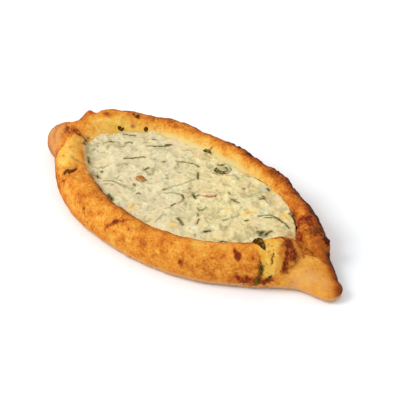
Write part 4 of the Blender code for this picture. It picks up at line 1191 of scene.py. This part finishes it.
# %% Tint the cheese over its herbs
# soft patches on the cheese: x, y, reach and strength
PATCHES = {
    "greenish": (
        (-69, -9, 5, 0.5), (-66, -16, 4, 0.5), (-36, -34, 5, 0.6), (-46, -29, 4, 0.3), (50, -3, 5, 0.5),
        (46, -11, 5, 0.35), (26, 28, 4.5, 0.35), (14, -22, 4, 0.35), (19, -30, 4, 0.25), (-29, -22, 5, 0.3),
        (-64, 1.5, 4.5, 0.4), (-45, -10, 3, 0.3), (-18, 12, 8, 0.2), (24, 17, 6, 0.2), (-3, 28, 6, 0.25),
        (-1.2, 26.4, 3, 1), (-60, 12, 8, 0.2), (34, 22, 5, 0.25), (-72, -14, 3, 0.6),
        (-66.5, -19.5, 3, 0.6), (-60, -26, 3, 0.5),
    ),
    "golden": (
        (-18.1, -32.9, 3.2, 0.9), (9, -28.6, 3, 0.8), (51.2, 18.6, 5, 0.9), (25.4, 0.2, 5, 0.45),
        (35.2, 13.7, 5, 0.3), (34.5, 5, 3.5, 0.7), (11.9, -4.9, 6, 0.2), (38, -2, 5, 0.3), (-35, -2, 5, 0.25),
        (24, -34, 6, 0.6), (-4, -37, 6, 0.5), (0, 22, 6, 0.3), (-16, 24, 8, 0.2), (52, 3, 4, 0.3),
    ),
    "toasted": (
        (34.5, 6, 2, 0.85), (36, -9.1, 2.2, 0.55), (65, 8.6, 3.6, 0.8), (7.5, 3, 2.2, 0.35),
        (-53.9, -18.1, 1.8, 0.4), (-38, -9.5, 2.2, 0.25), (61, 11, 2.5, 0.4), (0, 24, 1.5, 0.3),
    ),
    "whitish": (
        (-1.6, 26.2, 3.2, 0.3), (26, 28.2, 3.2, 0.8), (-58, 8, 5, 0.3), (-30, 5, 5, 0.3), (40, 12, 5, 0.4),
    ),
}
# milkier from one place to the other along a line askew to the boat
MILKY_WAY, MILKY_FROM_TO = (0.745, 0.667), (10, -18)
# the tint of a strand is this much wider than its half width, with a faint halo around it
TINT_MARGIN, HALO_MARGIN, HALO_SHARE, TINT_REACH = 0.35, 1.2, 0.16, 3


def shining_through(x, y):
    """How much green of the strands shows at each place."""
    total = np.zeros(len(x))
    for way, width, dark in strands:
        (x0, y0), (x1, y1) = way.min(axis=0) - TINT_REACH, way.max(axis=0) + TINT_REACH
        near = (x > x0) & (x < x1) & (y > y0) & (y < y1)
        away = np.full(near.sum(), np.inf)
        for start, end in zip(way, way[1:]):
            away = np.minimum(away, along_segment(x[near], y[near], start, end)[1])
        tint = dark * np.exp(-((away / (0.5 * width + TINT_MARGIN)) ** 2))
        total[near] = np.maximum(total[near], tint)
        total[near] += HALO_SHARE * dark * np.exp(-((away / (width + HALO_MARGIN)) ** 2))
    return np.clip(total, 0, 1)


cheese_points = np.zeros(len(cheese_mesh.vertices) * 3)
cheese_mesh.vertices.foreach_get("co", cheese_points)
cx, cy, _ = (cheese_points.reshape(-1, 3) / MM - MOVE).T
herb = shining_through(cx, cy)
give(cheese_mesh, "herb", herb)
for name, table in PATCHES.items():
    give(cheese_mesh, name, np.clip(humps(cx, cy, table), 0, 1))
give(cheese_mesh, "milky", smooth_step(*MILKY_FROM_TO, MILKY_WAY[0] * cx + MILKY_WAY[1] * cy))
# height of the curds, for a painted highlight on their tops and painted shade between them
give(cheese_mesh, "curd_highlight_and_shade", 0.5 + np.clip(curds(cx, cy), -0.5, 0.5))
print("green shines through", np.count_nonzero(herb > 0.1), "of", len(herb), "points")

# %% [markdown]
# ## The cheese's own colour
# Baked white cheese isn't white: it is cream, golden where its fat ran together and grey-green over
# the herbs. The tops of the curds are painted lighter and the furrows between them a darker straw, as
# painted highlight and shade. A little light also goes into it, so it gets a weak subsurface scatter,
# and its moist skin is smoother than the dough's.

# %% Material of the cheese
# cloudy colours: pitch, noise from and to, most, and colour
CLOUDS = (
    (5.5, 0.48, 0.7, 0.5, (252, 226, 146)), (8.5, 0.5, 0.66, 0.6, (238, 202, 150)),
    (6.6, 0.52, 0.72, 0.55, (202, 200, 152)),
)
# stored patches: name, from and to, most, how broken their edges are, and colour
STAINS = (
    ("golden", 0.1, 0.9, 0.85, 0.8, (250, 212, 116)), ("whitish", 0.2, 0.9, 0.8, 1.6, (220, 218, 186)),
    ("toasted", 0.25, 0.85, 0.85, 0.8, (226, 172, 100)), ("greenish", 0.1, 1.0, 0.65, 1.6, (184, 184, 140)),
)


def curd_cheese():
    f = Finish("curd_cheese")
    broad, middle, fine, grain = f.noise(7, 3.0), f.noise(2.8, 3.0), f.noise(1.1, 2.0), f.noise(0.45, 2.0)
    # the curds' height makes their tops lighter and their hollows darker: painted highlight and shade
    tone = f.add(broad, (middle, 1.0), (fine, 0.5), (f.stored("curd_highlight_and_shade"), 0.6))
    colour = f.ramp(tone, (
        (0.18, paint(210, 194, 140)), (0.38, paint(238, 220, 164)), (0.56, paint(249, 231, 170)),
        (0.85, paint(255, 244, 200)),
    ))
    for pitch, low, high, most, cloud in CLOUDS:
        colour = f.blend(f.step(f.noise(pitch), low, high, most), colour, paint(*cloud))
    colour = f.blend(f.times(f.stored("milky"), 0.34), colour, paint(232, 224, 198))
    specks = f.times(f.step(f.noise(1.3, 2.0), 0.58, 0.7, 0.75), f.step(f.noise(7.3, 2.0), 0.46, 0.62))
    colour = f.blend(specks, colour, paint(146, 136, 86))
    for name, low, high, most, broken, stain in STAINS:
        colour = f.blend(f.patch(name, low, high, most, (middle, broken)), colour, paint(*stain))
    herb = f.add(f.stored("herb"), (middle, 0.7), (fine, 0.5))
    under_film = f.step(f.stored("herb"), 0.02, 0.12)
    colour = f.blend(f.times(f.step(herb, 0.12, 0.65, 0.65), under_film), colour, paint(170, 164, 118))
    colour = f.blend(f.times(f.step(herb, 0.45, 1.0, 0.85), under_film), colour, paint(108, 100, 58))
    normal = f.bump(grain, 0.08, f.bump(fine, 0.2, f.bump(middle, 0.2)))
    return f.finish(colour, f.matt(fine, 0.4), normal, Specular_IOR_Level=0.12, Subsurface_Weight=0.12,
                    Subsurface_Radius=(0.003, 0.002, 0.001), Subsurface_Scale=0.6)


cheese_mesh.materials.append(curd_cheese())

# %% [markdown]
# ## Dill that lies on top
# The dark strands and leaflets are real pieces: thin, slightly flat threads that follow the cheese
# and lie half sunk in it. Each is a sweep of a small oval along its way, thinner at both ends. One
# mesh holds them all, and a stored number tells the material how much cheese covers each.

# %% Sweep the strands
CLEAR_FROM = 0.65
OVAL_CORNERS, THIN_END = 6, 0.04
SLOPE_REACH = 0.3
# a thread is narrower than its tint; the darker, the higher it lies
THREAD_SHARE, THREAD_THICKNESS, THREAD_RISE, THREAD_LEVEL = 0.64, 0.45, 0.3, 0.75


def on_surface(height, way):
    """Points of a way in plan on a surface, and the surface's unit normals there."""
    reach = SLOPE_REACH
    x, y = way.T
    slope_x = (height(x + reach, y) - height(x - reach, y)) / (2 * reach)
    slope_y = (height(x, y + reach) - height(x, y - reach)) / (2 * reach)
    normal = np.column_stack([-slope_x, -slope_y, np.ones(len(x))])
    return np.column_stack([x, y, height(x, y)]), normal / np.linalg.norm(normal, axis=1)[:, None]


def sweep(centre, normal, width, thickness):
    """Ovals of a flat thread along its centre points; width is one number or one for each point."""
    side = np.cross(normal, np.gradient(centre, axis=0))
    side /= np.linalg.norm(side, axis=1)[:, None]
    share = np.linspace(0, 1, len(centre))
    swell = np.sqrt(np.clip(1 - (2 * share - 1) ** 4, THIN_END, 1))
    half, deep = width * swell / 2, thickness * swell / 2
    turns = np.arange(OVAL_CORNERS) / OVAL_CORNERS * math.tau
    return [
        [c + n * math.sin(t) * d + s * math.cos(t) * h for t in turns]
        for c, n, s, h, d in zip(centre, normal, side, half, deep)
    ]


def laid(height, way, width, thickness, rise):
    """A thread that lies on a surface, its middle rise millimetres above it."""
    centre, normal = on_surface(height, way)
    return sweep(centre + normal * rise, normal, width, thickness)


def threads(name, swept, stored):
    """One mesh of many swept threads, each with its stored number."""
    points, faces, numbers = [], [], []
    for sections, number in zip(swept, stored):
        start = len(points)
        for section in sections:
            first, before = len(points), len(points) - OVAL_CORNERS
            points.extend(section)
            if first > start:
                for i in range(OVAL_CORNERS):
                    j = (i + 1) % OVAL_CORNERS
                    faces.append((before + i, before + j, first + j, first + i))
        faces.append(tuple(range(start, start + OVAL_CORNERS))[::-1])
        faces.append(tuple(range(first, first + OVAL_CORNERS)))
        numbers.extend([number] * (len(points) - start))
    mesh = bpy.data.meshes.new(name)
    mesh.from_pydata(((np.array(points) + MOVE) * MM).tolist(), [], faces)
    mesh.shade_smooth()
    give(mesh, "film", numbers)
    piece = placed(name, mesh)
    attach(piece, "root")
    print(name, "holds", len(swept), "bits and", len(faces), "faces")
    return piece


clear = [strand for strand in strands if strand[2] >= CLEAR_FROM]
swept = []
for way, width, dark in clear:
    rise = THREAD_RISE * (dark - THREAD_LEVEL)
    swept.append(laid(cheese_top, way, THREAD_SHARE * width, THREAD_THICKNESS, rise))
dill = threads("dill_strands", swept, [1 - dark for _, _, dark in clear])

# %% [markdown]
# ## Colour of the herbs
# Baked dill is a dull dark olive. Where cheese covers it, it turns to the grey-green of the tint. The
# leaves that baked on the dough are browner, and where they are thin the golden dough shows through.

# %% Materials of the dill and of the leaves
def dark_dill():
    f = Finish("dark_dill")
    middle, fine = f.noise(2.0), f.noise(0.6, 2.0)
    green = f.ramp(f.add(middle, (fine, 0.9)), (
        (0.3, paint(66, 46, 8)), (0.5, paint(98, 80, 24)), (0.72, paint(144, 126, 58)),
    ))
    cover = f.step(f.add(f.stored("film"), (middle, 4.2), (fine, 1.0)), -0.05, 0.55, 0.85)
    colour = f.blend(cover, green, paint(156, 148, 100))
    return f.finish(colour, f.matt(fine, 0.6), f.bump(fine, 0.1), Specular_IOR_Level=0.03)


def baked_leaf():
    f = Finish("baked_leaf")
    middle, fine = f.noise(2.4), f.noise(0.7, 2.0)
    olive = f.ramp(f.add(middle, (fine, 0.9)), (
        (0.35, paint(66, 34, 8)), (0.5, paint(88, 56, 14)), (0.68, paint(134, 106, 42)),
    ))
    cover = f.step(f.add(f.stored("film"), (middle, 3.0)), 0.3, 1.0, 0.7)
    colour = f.blend(cover, olive, paint(170, 142, 58))
    return f.finish(colour, f.matt(fine, 0.6), f.bump(fine, 0.15), Specular_IOR_Level=0.03)


dill_finish, leaf_finish = dark_dill(), baked_leaf()
dill.data.materials.append(dill_finish)

# %% [markdown]
# ## Herb leaves on the dough
# A few wider leaves stuck to the roll and baked on: a big dark one where the roll laps over the
# tail, one that runs down the near side there, and small ones on the far rim. They are broad thin
# sweeps over the dough.

# %% Leaves on the rim
LEAF_THICKNESS, LEAF_RISE = 0.5, 0.1
RAGGED, RAGGED_PITCH, RAGGED_LAYER = 0.4, 1.2, 30
# corners as x, y, z, then the width at each corner, the direction the leaf faces, and how dark it is
RIM_LEAVES = (
    ((57, -16.2, 21.6, 58.6, -14.6, 22.7, 61.4, -14.8, 23.7, 64.6, -15.9, 23.4, 68.2, -17.4, 22.8),
     (0.9, 3.6, 3.9, 3, 1), (0.1, -0.5, 0.9), 0.95),
    ((69.6, -23, 19, 70.8, -23.9, 16.8, 71.6, -24.9, 13.8, 71.4, -25.8, 10.8), (0.5, 1.2, 1.5, 0.6),
     (0.57, -0.74, 0.36), 0.9),
    ((71.6, -26, 9.4, 70.6, -27.2, 6.6), (1, 1.4), (0.57, -0.74, 0.3), 0.85),
    ((74.2, -24, 8.4, 76.6, -21.9, 11.6), (0.8, 0.8), (0.63, -0.75, 0.1), 0.8),
    ((-69.2, 11.9, 18.5, -68, 12.2, 17.5, -66.8, 12.3, 16.6), (1.3, 2, 1.7), (0.6, -0.4, 0.7), 0.9),
    ((-66.3, 14, 18, -66.5, 12.9, 17, -66.8, 12, 16.2), (1, 1.4, 1.2), (0.6, -0.4, 0.7), 0.8),
    ((-57.3, 22.8, 17.9, -56.7, 21.8, 17, -56.2, 20.8, 16.1), (1.5, 2.1, 1.7), (0.5, -0.6, 0.6), 0.85),
    ((-20.4, 29.2, 16.9, -18.6, 30, 17.4, -16.4, 30.4, 17.6, -14.4, 29.8, 17.2), (1.2, 1.6, 1.6, 1.2),
     (0, -0.6, 0.8), 0.7),
)


def leaf(corners, widths, facing, steps=21):
    """A broad thin sweep along its corners, with ragged sides."""
    corners = np.array(corners, float).reshape(-1, 3)
    at, known = np.linspace(0, len(corners) - 1, steps), np.arange(len(corners))
    centre = np.column_stack([np.interp(at, known, axis) for axis in corners.T])
    width = np.interp(at, known, widths) * (1 + RAGGED * lumps(centre, RAGGED_PITCH, RAGGED_LAYER))
    facing = np.tile(np.array(facing) / np.linalg.norm(facing), (steps, 1))
    return sweep(centre + LEAF_RISE * facing, facing, width, LEAF_THICKNESS)


swept = [leaf(*blade) for *blade, _ in RIM_LEAVES]
leaves = threads("rim_leaves", swept, [1 - dark for *_, dark in RIM_LEAVES])
leaves.data.materials.append(leaf_finish)

# %% [markdown]
# ## A slice of green onion
# Near the far rim lies one slice of green onion: a thick dark green skin on one side, thin grey
# rings and a dark core. Rings swept round a centre make it, thick where the skin is.

# %% Rings of onion
ONION_AT = (-1.9, 25.8)
# radius, thickest and thinnest width, how dark, direction of the thickest place and span in degrees
ONION_RINGS = ((3.9, 3.4, 0.8, 1.0, 268, 140), (4.4, 0.35, 0.3, 0.3, 50, 200), (2.4, 0.4, 0.35, 0.3, 30, 170))
RING_STEPS, RING_THICKNESS, RING_RISE = 49, 0.8, 0.3
# the core's way in plan, and its width, thickness and rise
CORE_WAY = ((-2.3, 27.6), (-1.8, 28.05), (-1.3, 28.5))
CORE_SIZES = (1.1, 1.0, 0.35)


def ring(centre, radius, thick, thin, towards, span):
    """A ring or part of one, thickest in one direction."""
    half, middle = math.radians(span) / 2, math.radians(towards)
    turn = middle + np.linspace(-half, half, RING_STEPS)
    way = np.column_stack([np.cos(turn), np.sin(turn)]) * radius + centre
    lean = (1 + np.cos(turn - middle)) / 2
    return laid(fill_top, way, mix(thin, thick, lean**4), RING_THICKNESS, RING_RISE)


swept = [ring(ONION_AT, *sizes, towards, span) for *sizes, _, towards, span in ONION_RINGS]
swept.append(laid(fill_top, np.array(CORE_WAY), *CORE_SIZES))
onions = threads("onion_slices", swept, [*(1 - dark for _, _, _, dark, _, _ in ONION_RINGS), 0.0])
onions.data.materials.append(dill_finish)

# %% [markdown]
# ## Toasted bits
# Two bits of the filling came out of the oven with a colour of their own: a brown flake and a
# salmon-coloured strip. They are short flat sweeps, half sunk in the cheese.

# %% Flake and strip
BIT_THICKNESS, BIT_RISE = 1.0, 0.4
# corners as x, y, then the widths along it, and how brown it is
BITS = (
    ((-32.2, -14, -31, -12.6, -28.8, -12.2, -26.4, -10.8), (2.2, 3.6, 3.2, 1.6), 1),
    ((-31.4, -14.8, -29.6, -13.6, -26.8, -13), (1.4, 2, 1.4), 0.9),
    ((3.4, -0.8, 5.4, 0.8, 8.4, 3.2, 11.2, 6.2), (2.6, 3.8, 4.2, 3.2), 0),
    ((7, -0.6, 9.4, 1.6, 12.2, 4.6), (0.8, 1.4, 1.2), 0.8),
)


def baked_bit():
    f = Finish("baked_bit")
    middle, fine = f.noise(1.6), f.noise(0.6, 2.0)
    tone = f.add(middle, (fine, 0.8))
    brown = f.ramp(tone, ((0.3, paint(148, 88, 30)), (0.5, paint(196, 132, 62)), (0.75, paint(230, 184, 116))))
    salmon = f.ramp(tone, ((0.3, paint(240, 196, 150)), (0.7, paint(255, 232, 194))))
    colour = f.blend(f.stored("film"), salmon, brown)
    return f.finish(colour, f.matt(fine, 0.4), f.bump(fine, 0.15), Specular_IOR_Level=0.1)


swept = []
for flat, widths, _ in BITS:
    way = way_of(flat)
    broad = np.interp(np.linspace(0, 1, len(way)), np.linspace(0, 1, len(widths)), widths)
    swept.append(laid(cheese_top, way, broad, BIT_THICKNESS, BIT_RISE))
bits = threads("toasted_bits", swept, [brown for *_, brown in BITS])
bits.data.materials.append(baked_bit())

# %% [markdown]
# ## Floor and room
# The boat stands on a white floor in a bright room, whose light comes from all round. The floor has
# a faint unevenness, like a sheet of paper.

# %% Floor and room light
FLOOR_REACH, FLOOR_DROP = 3.0, 0.0002
floor_mesh = bpy.data.meshes.new("floor")
bm = bmesh.new()
bmesh.ops.create_grid(bm, x_segments=1, y_segments=1, size=FLOOR_REACH)
bm.to_mesh(floor_mesh)
bm.free()
floor = placed("floor", floor_mesh)
floor.location.z = -FLOOR_DROP
white = Finish("white_floor")
dust = white.ramp(white.noise(40), ((0.3, (0.94, 0.96, 0.98, 1)), (0.7, (0.95, 0.97, 0.99, 1))))
floor_mesh.materials.append(white.finish(dust, 0.9, white.bump(white.noise(5), 0.01), Specular_IOR_Level=0.0))

ROOM_LIGHT = 0.84
world = bpy.data.worlds.new("bright room")
world.use_nodes = True
background = world.node_tree.nodes["Background"]
background.inputs["Color"].default_value = (1, 1, 1, 1)
background.inputs["Strength"].default_value = ROOM_LIGHT
bpy.context.scene.world = world

# %% [markdown]
# ## Camera and lamp
# The camera looks down at about forty degrees from the near side, from far away with a long lens, so
# nothing is stretched. One large soft lamp at the upper left gives the shapes their shading.

# %% Camera and lamp
AZIMUTH, ELEVATION = math.radians(41.83), math.radians(40.0)
PIXELS_PER_MM, PICTURE_WIDTH = 1.7813, 400
CAMERA_DISTANCE, SENSOR = 6.0, 36.0
AIM_RIGHT, AIM_UP = 5, 14
LAMP_POWER, LAMP_SIZE, LAMP_DISTANCE = 13.0, 0.9, 1.6
LAMP_LEFT, LAMP_NEAR, LAMP_HIGH = 0.85, 0.1, 0.85
right = Vector((math.cos(AZIMUTH), math.sin(AZIMUTH), 0))
ahead = Vector((-math.sin(AZIMUTH) * math.cos(ELEVATION), math.cos(AZIMUTH) * math.cos(ELEVATION),
                -math.sin(ELEVATION)))
up = right.cross(ahead)
# aim is this many pixels beside the middle of the boat
aim = Vector(MOVE) * MM + (right * AIM_RIGHT + up * AIM_UP) * MM / PIXELS_PER_MM
camera = placed("camera", bpy.data.cameras.new("camera"))
camera.matrix_world = (
    Matrix.Translation(aim - ahead * CAMERA_DISTANCE) @ Matrix((right, up, -ahead)).transposed().to_4x4()
)
camera.data.sensor_width = SENSOR
camera.data.lens = PIXELS_PER_MM * SENSOR * CAMERA_DISTANCE / MM / PICTURE_WIDTH
camera.data.clip_end = 50
bpy.context.scene.camera = camera

lamp = placed("lamp", bpy.data.lights.new("lamp", "AREA"))
lamp.data.shape, lamp.data.size, lamp.data.energy = "DISK", LAMP_SIZE, LAMP_POWER
ahead_flat = Vector((ahead.x, ahead.y, 0)).normalized()
towards_lamp = (-right * LAMP_LEFT - ahead_flat * LAMP_NEAR + Vector((0, 0, LAMP_HIGH))).normalized()
lamp.location = towards_lamp * LAMP_DISTANCE
lamp.rotation_euler = towards_lamp.to_track_quat("Z", "Y").to_euler()
bpy.context.scene.view_settings.view_transform = "Standard"
print("camera at", camera.location, "lens", camera.data.lens, "lamp at", lamp.location)
